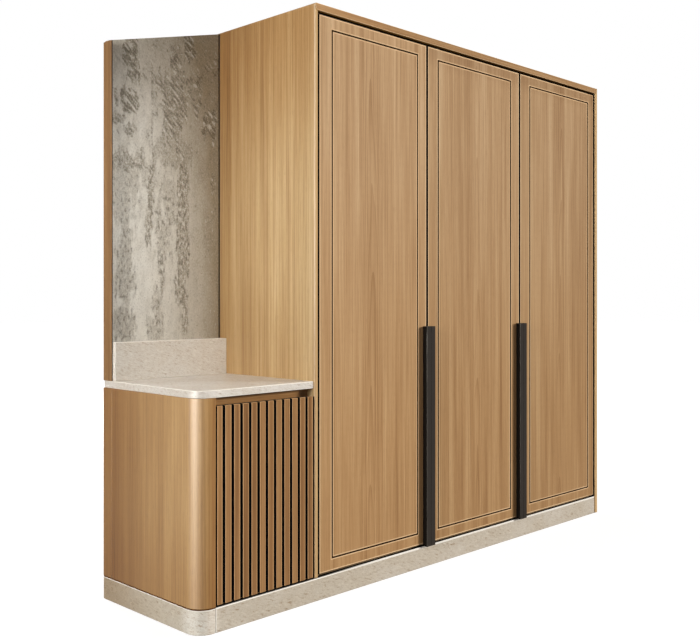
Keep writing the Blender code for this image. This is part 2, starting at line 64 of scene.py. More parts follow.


# ---------------------------------------------------------------- node trees
class Tree:
    """A material's node tree, with short calls for the nodes used here."""

    def __init__(self, name):
        self.mat = bpy.data.materials.new(name)
        self.mat.use_nodes = True
        self.nt = self.mat.node_tree
        self.nt.nodes.clear()
        out = self.nt.nodes.new("ShaderNodeOutputMaterial")
        self.bsdf = self.nt.nodes.new("ShaderNodeBsdfPrincipled")
        self.nt.links.new(self.bsdf.outputs[0], out.inputs[0])
        self.pos = self.nt.nodes.new("ShaderNodeTexCoord").outputs["Object"]

    def put(self, socket, value):
        if isinstance(value, bpy.types.NodeSocket):
            self.nt.links.new(value, socket)
        else:
            socket.default_value = value

    def shade(self, **values):
        for key, value in values.items():
            self.put(self.bsdf.inputs[key.replace("_", " ")], value)
        return self

    def math(self, op, a, b=0.0, c=0.0, clamp=False):
        n = self.nt.nodes.new("ShaderNodeMath")
        n.operation, n.use_clamp = op, clamp
        for i, v in enumerate((a, b, c)):
            self.put(n.inputs[i], v)
        return n.outputs[0]

    def at(self, scale, move=(0.0, 0.0, 0.0), vec=None):
        n = self.nt.nodes.new("ShaderNodeMapping")
        self.put(n.inputs["Vector"], vec if vec is not None else self.pos)
        n.inputs["Scale"].default_value = scale
        n.inputs["Location"].default_value = move
        return n.outputs[0]

    def noise(self, vec, scale=1.0, detail=2.0, rough=0.5, lac=2.0, dist=0.0):
        n = self.nt.nodes.new("ShaderNodeTexNoise")
        self.put(n.inputs["Vector"], vec)
        n.inputs["Scale"].default_value = scale
        n.inputs["Detail"].default_value = detail
        n.inputs["Roughness"].default_value = rough
        n.inputs["Lacunarity"].default_value = lac
        n.inputs["Distortion"].default_value = dist
        return n.outputs["Fac"]

    def cells(self, vec, scale=1.0, out="Distance"):
        n = self.nt.nodes.new("ShaderNodeTexVoronoi")
        self.put(n.inputs["Vector"], vec)
        n.inputs["Scale"].default_value = scale
        return n.outputs[out]

    def dice(self, value):
        n = self.nt.nodes.new("ShaderNodeTexWhiteNoise")
        n.noise_dimensions = "1D"
        self.put(n.inputs["W"], value)
        return n.outputs["Value"]

    def split(self, vec=None):
        n = self.nt.nodes.new("ShaderNodeSeparateXYZ")
        self.put(n.inputs[0], vec if vec is not None else self.pos)
        return n.outputs

    def join(self, x, y, z):
        n = self.nt.nodes.new("ShaderNodeCombineXYZ")
        for i, v in enumerate((x, y, z)):
            self.put(n.inputs[i], v)
        return n.outputs[0]

    def span(self, value, lo, hi, to_lo=0.0, to_hi=1.0, smooth=False):
        n = self.nt.nodes.new("ShaderNodeMapRange")
        n.interpolation_type = "SMOOTHSTEP" if smooth else "LINEAR"
        n.clamp = True
        self.put(n.inputs["Value"], value)
        n.inputs["From Min"].default_value = lo
        n.inputs["From Max"].default_value = hi
        n.inputs["To Min"].default_value = to_lo
        n.inputs["To Max"].default_value = to_hi
        return n.outputs["Result"]

    def ramp(self, value, stops):
        n = self.nt.nodes.new("ShaderNodeValToRGB")
        self.put(n.inputs[0], value)
        el = n.color_ramp.elements
        while len(el) < len(stops):
            el.new(0.5)
        for e, (p, c) in zip(el, stops):
            e.position, e.color = p, (*c, 1.0)
        return n.outputs[0]

    def mix(self, fac, a, b, how="MIX"):
        n = self.nt.nodes.new("ShaderNodeMix")
        n.data_type, n.blend_type = "RGBA", how
        self.put(n.inputs[0], fac)
        self.put(n.inputs[6], a if isinstance(a, bpy.types.NodeSocket) else (*a, 1.0))
        self.put(n.inputs[7], b if isinstance(b, bpy.types.NodeSocket) else (*b, 1.0))
        return n.outputs[2]

    def bump(self, height, strength, distance):
        n = self.nt.nodes.new("ShaderNodeBump")
        n.inputs["Strength"].default_value = strength
        n.inputs["Distance"].default_value = distance
        self.put(n.inputs["Height"], height)
        self.put(self.bsdf.inputs["Normal"], n.outputs[0])
        return self

    def paint_shading(self, colour, painted_shading):
        """Painted light and shade across a piece: each tint (axis, from, to, factor) comes in between two places of an
        axis and darkens or lightens the colour there.
        """
        x, y, z = self.split()
        for axis, lo, hi, factor in painted_shading:
            way = {"x": x, "y": y, "z": z}[axis]
            amount = self.span(way, lo, hi, smooth=True) if lo < hi else self.span(way, hi, lo, 1.0, 0.0, smooth=True)
            colour = self.mix(amount, colour, self.mix(1.0, colour, factor, "MULTIPLY"))
        return colour

    def attr(self, name):
        n = self.nt.nodes.new("ShaderNodeAttribute")
        n.attribute_name = name
        return n.outputs["Fac"]


def lin(r, g, b):
    """Linear colour from an sRGB one in 0..255."""
    def one(c):
        c /= 255.0
        return c / 12.92 if c <= 0.04045 else ((c + 0.055) / 1.055) ** 2.4
    return (one(r), one(g), one(b))


def shift(c, k):
    return tuple(min(1.0, v * k) for v in c)


def oak(name, dark, mid, light, seed=0.0, along="Z", centre=None, rough=0.42, contrast=1.0, slat=None, coat=0.0, coat_rough=0.32,
        spec=0.42, painted_shading=()):
    """Satin oak: broad bands, streaks, fine fibres and open pores along the grain; a crown figure about a centre line;
    painted light and shade lie over it in bands along an axis.
    """
    t = Tree(name)
    x, y, z = t.split()
    a, b, g = {"Z": (x, y, z), "X": (z, y, x), "Y": (x, z, y)}[along]
    p = t.join(t.math("ADD", a, seed * 1.713), t.math("ADD", b, seed * 0.917), t.math("ADD", g, seed * 2.331))
    if slat is not None:
        # each slat is cut from another place of the board
        which = t.math("FLOOR", t.math("DIVIDE", t.math("SUBTRACT", a, slat[0]), slat[1]))
        toss = t.dice(t.math("ADD", which, 0.37 + seed))
        p = t.join(t.math("ADD", a, t.math("MULTIPLY", toss, 7.3)), b, t.math("ADD", g, t.math("MULTIPLY", toss, 5.1)))
    bands = t.noise(t.at((11, 11, 0.42), vec=p), detail=3, rough=0.55, dist=0.5)
    streak = t.noise(t.at((62, 62, 0.85), vec=p), detail=4, rough=0.62)
    fibre = t.noise(t.at((330, 330, 4.5), vec=p), detail=3, rough=0.6)
    pores = t.span(t.noise(t.at((1150, 1150, 26), vec=p), detail=1), 0.60, 0.72)
    thread = t.noise(t.at((150, 150, 1.6), vec=p), detail=3, rough=0.6)
    v = t.math("MULTIPLY_ADD", t.math("SUBTRACT", bands, 0.5), 0.90 * contrast, 0.5)
    v = t.math("MULTIPLY_ADD", t.math("SUBTRACT", streak, 0.5), 0.62 * contrast, v)
    v = t.math("MULTIPLY_ADD", t.math("SUBTRACT", thread, 0.5), 0.80 * contrast, v)
    v = t.math("MULTIPLY_ADD", t.math("SUBTRACT", fibre, 0.5), 0.55 * contrast, v)
    if slat is not None:
        v = t.math("MULTIPLY_ADD", t.math("SUBTRACT", toss, 0.5), 0.28, v)
    if centre is not None:
        sway = t.noise(t.at((2.2, 2.2, 0.8), vec=p), detail=2)
        u = t.math("MULTIPLY_ADD", t.math("SUBTRACT", sway, 0.5), 0.10, t.math("SUBTRACT", a, centre))
        ripple = t.noise(t.at((7, 7, 1.1), vec=p), detail=2)
        r = t.math("SQRT", t.math("MULTIPLY_ADD", u, u, 0.0022))
        r = t.math("MULTIPLY_ADD", g, 0.017, r)
        r = t.math("MULTIPLY_ADD", ripple, 0.022, r)
        ring = t.math("FRACT", t.math("MULTIPLY", r, 140.0))
        ring = t.math("POWER", ring, 3.0)
        room = t.math("DIVIDE", u, 0.115)
        room = t.math("POWER", 2.718, t.math("MULTIPLY", t.math("MULTIPLY", room, room), -1.0))
        fig = t.math("MULTIPLY", t.math("SUBTRACT", ring, 0.30), room)
        v = t.math("MULTIPLY_ADD", fig, -0.24 * contrast, v)
        v = t.math("MULTIPLY_ADD", room, -0.05, v)
    colour = t.ramp(v, [(0.12, dark), (0.50, mid), (0.88, light)])
    colour = t.mix(t.math("MULTIPLY", pores, 0.38), colour, shift(dark, 0.62))
    # painted light and shade over the wood's colour
    colour = t.paint_shading(colour, painted_shading)
    t.shade(Base_Color=colour)
    t.shade(Roughness=t.math("MULTIPLY_ADD", pores, 0.14, t.span(fibre, 0.3, 0.7, rough - 0.06, rough + 0.08)))
    t.bsdf.inputs["Specular IOR Level"].default_value = spec
    if coat:
        t.bsdf.inputs["Coat Weight"].default_value = coat
        t.bsdf.inputs["Coat Roughness"].default_value = coat_rough
    height = t.math("MULTIPLY_ADD", pores, -0.9, t.math("MULTIPLY_ADD", streak, 0.35, fibre))
    t.bump(height, 0.16, 0.0006)
    return t.mat


def stone(name, base, warm, fleck, seed=0.0, rough=0.34, speck=1.0, size=1.0, painted_shading=()):
    """Honed beige stone: clouds, brown flecks drawn out along a leaning bed, pale grains and small pits; painted light
    and shade lie over it in bands along an axis.
    """
    t = Tree(name)
    p = t.at((1, 1, 1), move=(seed * 1.31, seed * 0.77, seed * 2.17))
    px, py, pz = t.split(p)
    lean = t.join(t.math("MULTIPLY_ADD", pz, 0.55, px), t.math("MULTIPLY_ADD", pz, -0.55, py), t.math("MULTIPLY_ADD", px, 0.25, pz))
    cloud = t.noise(t.at((5, 5, 7), vec=p), detail=4, rough=0.6)
    bed = t.noise(t.at((22, 22, 60), vec=lean), detail=4, rough=0.65, dist=0.4)
    grain = t.noise(t.at((105 / size, 105 / size, 300 / size), vec=lean), detail=3, rough=0.68)
    crumb = t.noise(t.at((330 / size, 330 / size, 420 / size), vec=p), detail=2, rough=0.7)
    fine = t.cells(t.at((520, 520, 640), vec=p), out="Distance")
    colour = t.mix(t.span(cloud, 0.32, 0.68), base, warm)
    spots = t.math("MULTIPLY", t.span(grain, 0.54, 0.72), t.span(bed, 0.40, 0.66, 0.30, 1.0))
    colour = t.mix(t.math("MULTIPLY", spots, 0.95 * speck), colour, fleck)
    colour = t.mix(t.math("MULTIPLY", t.span(crumb, 0.55, 0.72), 0.45 * speck), colour, shift(fleck, 1.1))
    colour = t.mix(t.math("MULTIPLY", t.span(grain, 0.46, 0.30), 0.55), colour, shift(base, 1.18))
    colour = t.mix(t.math("MULTIPLY", t.span(fine, 0.22, 0.05), 0.16), colour, shift(fleck, 0.8))
    # painted light and shade over the stone's colour
    colour = t.paint_shading(colour, painted_shading)
    t.shade(Base_Color=colour)
    t.shade(Roughness=t.math("MULTIPLY_ADD", spots, 0.16, t.span(cloud, 0.3, 0.7, rough - 0.05, rough + 0.07)))
    t.bump(t.math("MULTIPLY_ADD", spots, -0.8, crumb), 0.10, 0.0005)
    return t.mat


def plaster(name, light, deep, worn, dark):
    """Scraped mineral plaster: trowelled ground whose tone deepens to one top corner, partly painted shade; worn
    drifts, flecks and crests come with the mesh's relief; the reveal at one edge is painted near black, painted shade.
    """
    t = Tree(name)
    torn, pit, crest, tone, reveal = (t.attr(k) for k in ("torn", "pit", "crest", "tone", "reveal"))
    drift = t.noise(t.at((7.0, 7.0, 3.0)), detail=4, rough=0.6)
    grit = t.noise(t.at((420, 420, 300)), detail=3, rough=0.7)
    sand = t.noise(t.at((170, 170, 120)), detail=2, rough=0.6)
    # the ground deepens toward the top right through the tone attribute: partly painted shade
    ground = t.mix(t.math("MULTIPLY_ADD", t.math("SUBTRACT", drift, 0.5), 0.45, tone, clamp=True), light, deep)
    ground = t.mix(t.span(grit, 0.30, 0.72, 0.0, 0.14), ground, shift(deep, 0.75))
    ground = t.mix(t.math("MULTIPLY", torn, 0.68), ground, worn)
    ground = t.mix(t.math("MULTIPLY", t.span(sand, 0.42, 0.66), t.math("MULTIPLY_ADD", torn, 0.22, 0.08)), ground, dark)
    ground = t.mix(t.math("MULTIPLY", t.span(sand, 0.48, 0.32), t.math("MULTIPLY_ADD", torn, 0.20, 0.06)), ground, shift(light, 1.1))
    bite = t.math("MULTIPLY", pit, t.span(sand, 0.30, 0.55, 0.60, 1.0))
    colour = t.mix(t.math("MULTIPLY", bite, 0.50), ground, dark)
    colour = t.mix(t.math("MULTIPLY", crest, 0.40), colour, shift(light, 1.08))
    # the reveal at the right edge is painted near black: painted shade
    colour = t.mix(t.math("MULTIPLY", reveal, 0.94), colour, shift(dark, 0.18))
    t.shade(Base_Color=colour)
    t.shade(Roughness=t.span(bite, 0.0, 1.0, 0.74, 0.94))
    t.bsdf.inputs["Specular IOR Level"].default_value = 0.22
    t.bump(t.math("MULTIPLY_ADD", bite, -0.6, t.math("MULTIPLY_ADD", sand, 0.3, t.math("MULTIPLY", grit, 0.25))), 0.35, 0.0010)
    return t.mat


def metal(name, base, rough, grain="Z", metallic=1.0, spec=0.5, seed=0.0):
    """Brushed metal: hairlines along one axis, a little soiling and rubbed patches."""
    t = Tree(name)
    stretch = {"Z": (900, 900, 7), "X": (7, 900, 900), "Y": (900, 7, 900)}[grain]
    hair = t.noise(t.at(stretch, move=(seed, seed, seed)), detail=3, rough=0.6)
    rub = t.noise(t.at((22, 22, 9), move=(seed, 0, seed)), detail=4, rough=0.62)
    colour = t.mix(t.span(hair, 0.3, 0.7), shift(base, 0.82), shift(base, 1.16))
    colour = t.mix(t.span(rub, 0.50, 0.75, 0.0, 0.35), colour, shift(base, 1.30))
    t.shade(Base_Color=colour)
    t.shade(Roughness=t.math("MULTIPLY_ADD", rub, 0.10, t.span(hair, 0.25, 0.75, rough - 0.08, rough + 0.06)))
    t.bsdf.inputs["Metallic"].default_value = metallic
    t.bsdf.inputs["Specular IOR Level"].default_value = spec
    t.bump(hair, 0.06, 0.0002)
    return t.mat


def board(name, base, seed=0.0, rough=0.72):
    """Fibreboard: short felted fibres, soft clouds and a dusting of darker chips."""
    t = Tree(name)
    p = t.at((1, 1, 1), move=(seed, seed * 1.7, seed * 0.6))
    cloud = t.noise(t.at((4, 4, 3), vec=p), detail=4, rough=0.6)
    felt = t.noise(t.at((420, 420, 420), vec=p), detail=4, rough=0.7)
    chip = t.span(t.cells(t.at((260, 260, 170), vec=p)), 0.20, 0.04)
    colour = t.mix(t.span(cloud, 0.3, 0.7), shift(base, 0.86), shift(base, 1.13))
    colour = t.mix(t.span(felt, 0.35, 0.65, 0.0, 0.30), colour, shift(base, 0.66))
    colour = t.mix(t.math("MULTIPLY", chip, 0.25), colour, shift(base, 0.45))
    t.shade(Base_Color=colour)
    t.shade(Roughness=t.span(felt, 0.3, 0.7, rough - 0.08, rough + 0.10))
    t.bsdf.inputs["Specular IOR Level"].default_value = 0.3
    t.bump(felt, 0.18, 0.0004)
    return t.mat


# ---------------------------------------------------------------- the palette
DOOR_DARK, DOOR_MID, DOOR_LIGHT = lin(152, 116, 81), lin(184, 149, 111), lin(207, 176, 139)
SIDE_DARK, SIDE_MID, SIDE_LIGHT = lin(158, 122, 79), lin(193, 161, 114), lin(215, 189, 147)
SLAT_DARK, SLAT_MID, SLAT_LIGHT = lin(118, 82, 50), lin(148, 108, 68), lin(169, 129, 86)
# EDGE colours: paler oak for the stile's front arris, a painted highlight.
EDGE_DARK, EDGE_MID, EDGE_LIGHT = lin(198, 162, 118), lin(223, 192, 151), lin(236, 212, 177)

# Painted light and shade on the doors: each door's factor (1.02, 0.98, 0.95) paints light falling off from left to
# right; they darken and warm toward the bottom, the band under the top rail is painted shade (lighter on the left
# door), and the right door darkens at its right edge.
M_DOOR = {w: oak("oak_door_" + w, shift(DOOR_DARK, k), shift(DOOR_MID, k), shift(DOOR_LIGHT, k), seed=s, centre=(x0 + x1) / 2 + DX + c,
                 painted_shading=(("z", 2.05, 0.45, (0.885, 0.81, 0.68)), ("z", 2.16, 2.24, head_shade)) + ((("x", 1.215, 1.285, (0.88, 0.85, 0.80)),) if w == "right" else ()))
          for (w, (x0, x1)), s, c, k, head_shade in zip(DOORS.items(), (1.0, 2.6, 4.3), (-0.03, 0.02, 0.015), (1.02, 0.98, 0.95),
                                                  ((1.03, 1.03, 1.03), (0.84, 0.81, 0.79), (0.86, 0.83, 0.80)))}
# Paler oak on the stile's front arris: a painted highlight, darkening lower down as painted shade.
M_EDGE_HIGHLIGHT = oak("oak_edge_highlight", EDGE_DARK, EDGE_MID, EDGE_LIGHT, seed=5.5, contrast=0.7, painted_shading=(("z", 1.45, 0.85, (0.74, 0.68, 0.60)),))
# Painted shade on the sides: darker toward the rear, darker and warmer toward the top, darker low down.
M_SIDE = oak("oak_side", SIDE_DARK, SIDE_MID, SIDE_LIGHT, seed=7.1, contrast=1.1, painted_shading=(("y", -0.13, 0.29, (0.70, 0.64, 0.56)), ("z", 1.45, 2.30, (0.83, 0.70, 0.54)), ("z", 1.35, 0.95, (0.88, 0.85, 0.79))))
M_STILE = oak("oak_stile", lin(179, 141, 95), lin(202, 167, 119), lin(217, 187, 144), seed=8.2, contrast=0.7)
# Painted shade on the top: darker toward its right part.
M_TOP = oak("oak_top", lin(159, 118, 78), lin(193, 152, 107), lin(215, 178, 132), seed=9.4, along="X", painted_shading=(("x", -0.62, -0.05, (0.76, 0.745, 0.735)),))
# Paler oak for the top's front arris: a painted highlight.
M_TOP_HIGHLIGHT = oak("oak_top_edge_highlight", lin(206, 170, 126), lin(230, 196, 152), lin(242, 214, 176), seed=9.9, along="X", contrast=0.7)
# Painted light and shade on the bent side: a paler band down the bend is a painted highlight; the front post, the rear
# and the foot are darker, painted shade.
M_BASE = oak("oak_base", lin(146, 106, 60), lin(180, 140, 88), lin(202, 166, 113), seed=11.3, contrast=1.0, coat=0.9, coat_rough=0.46,
             painted_shading=(("y", -0.15, 0.29, (0.60, 0.470, 0.285)), ("x", -1.3236, -1.317, (1.12, 1.14, 1.20)), ("x", -1.303, -1.286, (0.893, 0.877, 0.833)),
                    ("x", -1.285, -1.255, (0.76, 0.67, 0.58)), ("z", 0.45, 0.095, (0.91, 0.855, 0.775))))
M_SLAT = oak("oak_slat", SLAT_DARK, SLAT_MID, SLAT_LIGHT, seed=13.0, slat=(SLAT_X0 + DX - 0.0049, 0.0389667))
# Paler oak for the bands at the sides of each slat's front: a painted highlight.
M_SLAT_HIGHLIGHT = oak("oak_slat_edge_highlight", lin(180, 137, 91), lin(204, 160, 112), lin(218, 178, 130), seed=14.0, contrast=0.7)
M_STRIP = oak("oak_strip", lin(104, 71, 40), lin(138, 101, 62), lin(160, 124, 83), seed=15.2)
M_FINGER = oak("oak_recess", lin(110, 74, 42), lin(147, 107, 66), lin(169, 129, 85), seed=16.0, along="X")
M_INSIDE = oak("oak_laminate", lin(168, 136, 98), lin(196, 164, 124), lin(214, 186, 148), seed=17.3, rough=0.5, contrast=0.8)
M_INSIDE_X = oak("oak_laminate_lengthwise", lin(168, 136, 98), lin(196, 164, 124), lin(214, 186, 148), seed=18.4,
                 along="X", rough=0.5, contrast=0.8)
# Near-black board on the niche strip's faces beside the plaster: painted shade in the gap.
M_STRIP_SHADE = board("strip_edge_painted_shade", lin(34, 25, 19), seed=2.0, rough=0.7)
# Near-black oak inside the door grooves: painted shade in the recesses.
M_GROOVE_SHADE = oak("oak_groove_painted_shade", lin(34, 18, 7), lin(46, 27, 11), lin(58, 37, 17), seed=19.0, rough=0.7, spec=0.06)
# Paler oak for the band round each door's face: a painted highlight, darkened at the right door's right edge as painted
# shade.
M_RIM_HIGHLIGHT = oak("oak_rim_highlight", lin(192, 154, 112), lin(220, 185, 143), lin(234, 204, 164), seed=20.0, contrast=0.7, painted_shading=(("x", 1.20, 1.27, (0.68, 0.62, 0.55)),))
# Paler oak for the bands beside each groove: a painted highlight.
M_GROOVE_HIGHLIGHT = oak("oak_groove_highlight", lin(190, 152, 110), lin(216, 180, 138), lin(230, 198, 158), seed=21.0, contrast=0.7)
# Bright, warm oak on the top's underside behind the door tops: painted light standing in for bounced light; it darkens
# toward the right as painted shade.
M_UNDER_LIT = oak("oak_underside_painted_light", lin(200, 140, 62), lin(216, 156, 76), lin(226, 170, 92), seed=22.0, along="X", rough=0.7, spec=0.06,
                painted_shading=(("x", -0.30, 0.60, (0.62, 0.58, 0.54)),))
M_SHADOWLINE = oak("oak_shadow_line", lin(74, 44, 18), lin(94, 58, 26), lin(112, 74, 38), seed=23.0, along="X", rough=0.7, spec=0.06)
# Near-black board: the slats' felt and the board behind them, and painted shade for the gaps: door edges, the stile's
# inner face, the top's underside, slat sides, plinth tops and a strip in the slats' gap.
M_BLACK_AND_SHADE = board("black_board", lin(5, 4, 4), seed=3.0, rough=0.85)
M_BOARD = board("fibreboard", lin(162, 134, 100), seed=4.0)
M_CHARCOAL = board("charcoal_board", lin(50, 46, 42), seed=6.0, rough=0.6)
M_STONE = stone("stone_counter", lin(220, 215, 208), lin(211, 203, 192), lin(166, 142, 115), seed=1.0, size=1.5)
# Upstand stone paler than the counter's: painted light.
M_STONE_UP = stone("stone_upstand_painted_light", lin(233, 229, 221), lin(223, 216, 205), lin(172, 147, 118), seed=3.0, size=1.6)
# Painted light and shade on the plinth: paler along the front near the corner as a painted highlight, darker toward the
# rear and past the corner as painted shade, lighter again further right.
M_STONE_BASE = stone("stone_plinth", lin(211, 203, 188), lin(200, 189, 170), lin(152, 128, 100), seed=5.0, rough=0.26, speck=1.5, size=1.9,
                     painted_shading=(("y", -0.10, 0.30, (0.70, 0.61, 0.515)), ("y", -0.17, -0.262, (1.28, 1.35, 1.47)),
                            ("x", -1.306, -1.264, (0.90, 0.86, 0.83)), ("x", -1.264, -1.22, (0.76, 0.74, 0.70)), ("x", -0.95, -0.2, (1.08, 1.09, 1.11))))
# Near-white stone for arrises and the plinth's top line: a painted highlight.
M_STONE_HIGHLIGHT = stone("stone_arris_highlight", lin(244, 240, 232), lin(238, 232, 222), lin(208, 190, 166), seed=7.0, speck=0.4)
# Near-white stone for the plinth's top arris: a painted highlight, painted near black as shade toward the left under
# the slats.
M_PLINTH_HIGHLIGHT = stone("stone_plinth_arris_highlight_and_shade", lin(244, 240, 232), lin(238, 232, 222), lin(208, 190, 166), seed=8.0, speck=0.4,
                       painted_shading=(("x", -0.35, -0.75, (0.05, 0.045, 0.04)),))
M_PLASTER = plaster("scraped_plaster", lin(236, 234, 226), lin(156, 142, 118), lin(142, 131, 111), lin(78, 69, 55))
M_METAL = metal("black_anodised", lin(63, 58, 54), 0.42, metallic=0.35, spec=0.45)
# The flank finish is darker: painted shade on the handle's outer side and rear. The edge finish is paler: a painted
# highlight on the front arris.
M_METAL_SHADE = metal("black_anodised_flank_painted_shade", lin(20, 15, 11), 0.66, metallic=0.1, spec=0.06, seed=1.0)
M_METAL_HIGHLIGHT = metal("black_anodised_edge_highlight", lin(92, 89, 84), 0.36, metallic=0.6, seed=2.0)
M_STEEL = metal("nickel_steel", lin(178, 176, 170), 0.30, grain="Y", seed=4.0)
M_CHROME = metal("chrome_tube", lin(205, 205, 204), 0.14, grain="X", seed=6.0)


# ---------------------------------------------------------------- mesh building
def fillet(corners, seg=4):
    """A closed outline from corners (u, v, radius); each corner with a radius is rounded."""
    pts = []
    n = len(corners)
    for i, (u, v, r) in enumerate(corners):
        if r <= 0:
            pts.append((u, v))
            continue
        p = Vector((u, v))
        a = (Vector(corners[i - 1][:2]) - p).normalized()
        b = (Vector(corners[(i + 1) % n][:2]) - p).normalized()
        half = a.angle(b) / 2
        reach = r / max(1e-9, sin(half) / cos(half))
        mid = p + (a + b).normalized() * (r / sin(half))
        start, end = p + a * reach - mid, p + b * reach - mid
        total = start.angle_signed(end)
        for k in range(seg + 1):
            w = total * k / seg
            c, s = cos(-w), sin(-w)
            pts.append((mid.x + start.x * c - start.y * s, mid.y + start.x * s + start.y * c))
    return pts


def arc(cu, cv, r, a0, a1, n):
    return [(cu + r * cos(radians(a0 + (a1 - a0) * i / n)), cv + r * sin(radians(a0 + (a1 - a0) * i / n)))
            for i in range(n + 1)]


def inset(pts, d):
    """The outline moved inward by d, with mitred corners; pts run anticlockwise."""
    out = []
    n = len(pts)
    for i in range(n):
        p0, p1, p2 = Vector(pts[i - 1]), Vector(pts[i]), Vector(pts[(i + 1) % n])
        e0, e1 = (p1 - p0).normalized(), (p2 - p1).normalized()
        n0, n1 = Vector((-e0.y, e0.x)), Vector((-e1.y, e1.x))
        m = (n0 + n1) / max(0.2, 1.0 + n0.dot(n1))
        out.append(tuple(p1 + m * d))
    return out


def ccw(pts):
    area = sum(pts[i - 1][0] * pts[i][1] - pts[i][0] * pts[i - 1][1] for i in range(len(pts)))
    return pts if area > 0 else pts[::-1]


def to_object(name, bm, mats, rule=None, smooth=38):
    """A mesh object in the row frame; bm holds helper-frame points."""
    bmesh.ops.translate(bm, vec=(DX, DY, 0.0), verts=bm.verts)
    bmesh.ops.recalc_face_normals(bm, faces=bm.faces)
    me = bpy.data.meshes.new(name)
    bm.to_mesh(me)
    bm.free()
    ob = bpy.data.objects.new(name, me)
    bpy.context.scene.collection.objects.link(ob)
    for m in mats:
        me.materials.append(m)
    paint(ob, rule)
    finish_shading(ob, smooth)
    return ob


def paint(ob, rule):
    """rule(centre in the helper frame, normal) gives a face's material slot."""
    if rule is None:
        return
    for f in ob.data.polygons:
        c = f.center
        f.material_index = rule(Vector((c.x - DX, c.y - DY, c.z)), f.normal)


def finish_shading(ob, smooth):
    ob.data.shade_smooth()
    ob.data.set_sharp_from_angle(angle=radians(smooth))
    if not any(m.type == "WEIGHTED_NORMAL" for m in ob.modifiers):
        wn = ob.modifiers.new("even", "WEIGHTED_NORMAL")
        wn.keep_sharp = True


def solid(name, outline, lo, hi, mats, rule=None, axis="Z", r=0.0015, seg=3, smooth=38, cuts=()):
    """An outline extruded from lo to hi with rounded end arrises; cuts adds rings between them.

    axis Z takes (x, y), Y takes (x, z), X takes (y, z).
    """
    pts = ccw(outline)
    rings = []
    steps = [(r * (1 - sin(pi / 2 * k / seg)), r * (1 - cos(pi / 2 * k / seg))) for k in range(seg + 1)] if r else [(0, 0)]
    # from the low cap outwards, along the wall, and in to the high cap
    for up, inn in reversed(steps):
        rings.append((lo + up, inn))
    rings += [(w, 0.0) for w in cuts]
    for up, inn in steps:
        rings.append((hi - up, inn))
    bm = bmesh.new()
    loops = []
    for w, d in rings:
        loop = inset(pts, d) if d > 0 else pts
        put = {"Z": lambda u, v: (u, v, w), "Y": lambda u, v: (u, w, v), "X": lambda u, v: (w, u, v)}[axis]
        loops.append([bm.verts.new(put(u, v)) for u, v in loop])
    n = len(pts)
    for a, b in zip(loops, loops[1:]):
        for i in range(n):
            j = (i + 1) % n
            bm.faces.new((a[i], a[j], b[j], b[i]))
    bm.faces.new(loops[0][::-1])
    bm.faces.new(loops[-1])
    return to_object(name, bm, mats, rule, smooth)


def slab(name, x, y, z, mats, rule=None, r=0.0015, seg=3, axis="Z"):
    """A board with all its arrises rounded."""
    u, v, w = {"Z": (x, y, z), "Y": (x, z, y), "X": (y, z, x)}[axis]
    q = r * 1.15
    outline = fillet([(u[0], v[0], q), (u[1], v[0], q), (u[1], v[1], q), (u[0], v[1], q)], seg)
    return solid(name, outline, w[0], w[1], mats, rule, axis=axis, r=r, seg=seg)


def carve(ob, cutter, smooth=38):
    """Takes the cutter out of ob and keeps the result as ob's mesh."""
    mod = ob.modifiers.new("carve", "BOOLEAN")
    mod.operation, mod.solver, mod.object = "DIFFERENCE", "EXACT", cutter
    others = [m for m in ob.modifiers if m.type == "WEIGHTED_NORMAL"]
    for m in others:
        m.show_viewport = m.show_render = False
    dg = bpy.context.evaluated_depsgraph_get()
    me = bpy.data.meshes.new_from_object(ob.evaluated_get(dg))
    old = ob.data
    ob.modifiers.remove(mod)
    ob.data = me
    me.name = ob.name
    bpy.data.meshes.remove(old)
    for m in others:
        m.show_viewport = m.show_render = True
    bpy.data.objects.remove(cutter, do_unlink=True)
    finish_shading(ob, smooth)
    return ob


def belongs(ob, body, *nodes, slot=None):
    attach(ob, body)
    if nodes:
        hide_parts(*nodes)
    return ob


def flat(n, axis, side=0):
    """True for a face square to an axis; side picks the direction."""
    v = n["xyz".index(axis)]
    return (abs(v) if side == 0 else v * side) > 0.985


# ---------------------------------------------------------------- wardrobe frame: sides and top, with a rounded scarf at the corners
FRAME_R = 0.012            # round on the frame's top left corner


def top_outline(grow):
    """The top's outline in (x, z), with the rounded ends that meet the sides; grow widens it for the seam."""
    left = [(WARD_X0 + 0.0065 - grow, HEIGHT + (0.02 if grow else 0.0))]
    cx, cz = LEFT_IN, HEIGHT - 0.0060
    left += [(cx - (SIDE_T - 0.0065 + grow) * cos(radians(w)), cz - (HEIGHT - 0.0060 - TOP_Z0 + grow) * sin(radians(w)))
             for w in range(0, 91, 9)]
    mid = (WARD_X0 + LENGTH) / 2
    right = [(2 * mid - u, v) for u, v in reversed(left)]
    if not grow:
        stop = 180 - degrees(acos((FRAME_R - 0.0065) / FRAME_R))
        left[:1] = arc(WARD_X0 + FRAME_R, HEIGHT - FRAME_R, FRAME_R, 90, stop, 4)
    return left + right


def side_profile(flip):
    """A side's plan: large round on its outer front arris, small on the others."""
    if flip:
        o, i = LENGTH + 0.0030, RIGHT_IN
        return fillet([(o, 0.0, 0.0014), (i, 0.0, 0.0009), (i, 0.0050, 0.0), (i, REBATE_Y, 0.0), (i, DEPTH, 0.0014), (o, DEPTH, 0.0014)], 5)
    o, i = WARD_X0, LEFT_IN
    return fillet([(o, 0.0, 0.0055), (i - 0.0022, 0.0, 0.0), (i, 0.0, 0.0014), (i, REBATE_Y, 0.0), (i, DEPTH, 0.0014), (o, DEPTH, 0.0014)], 5)


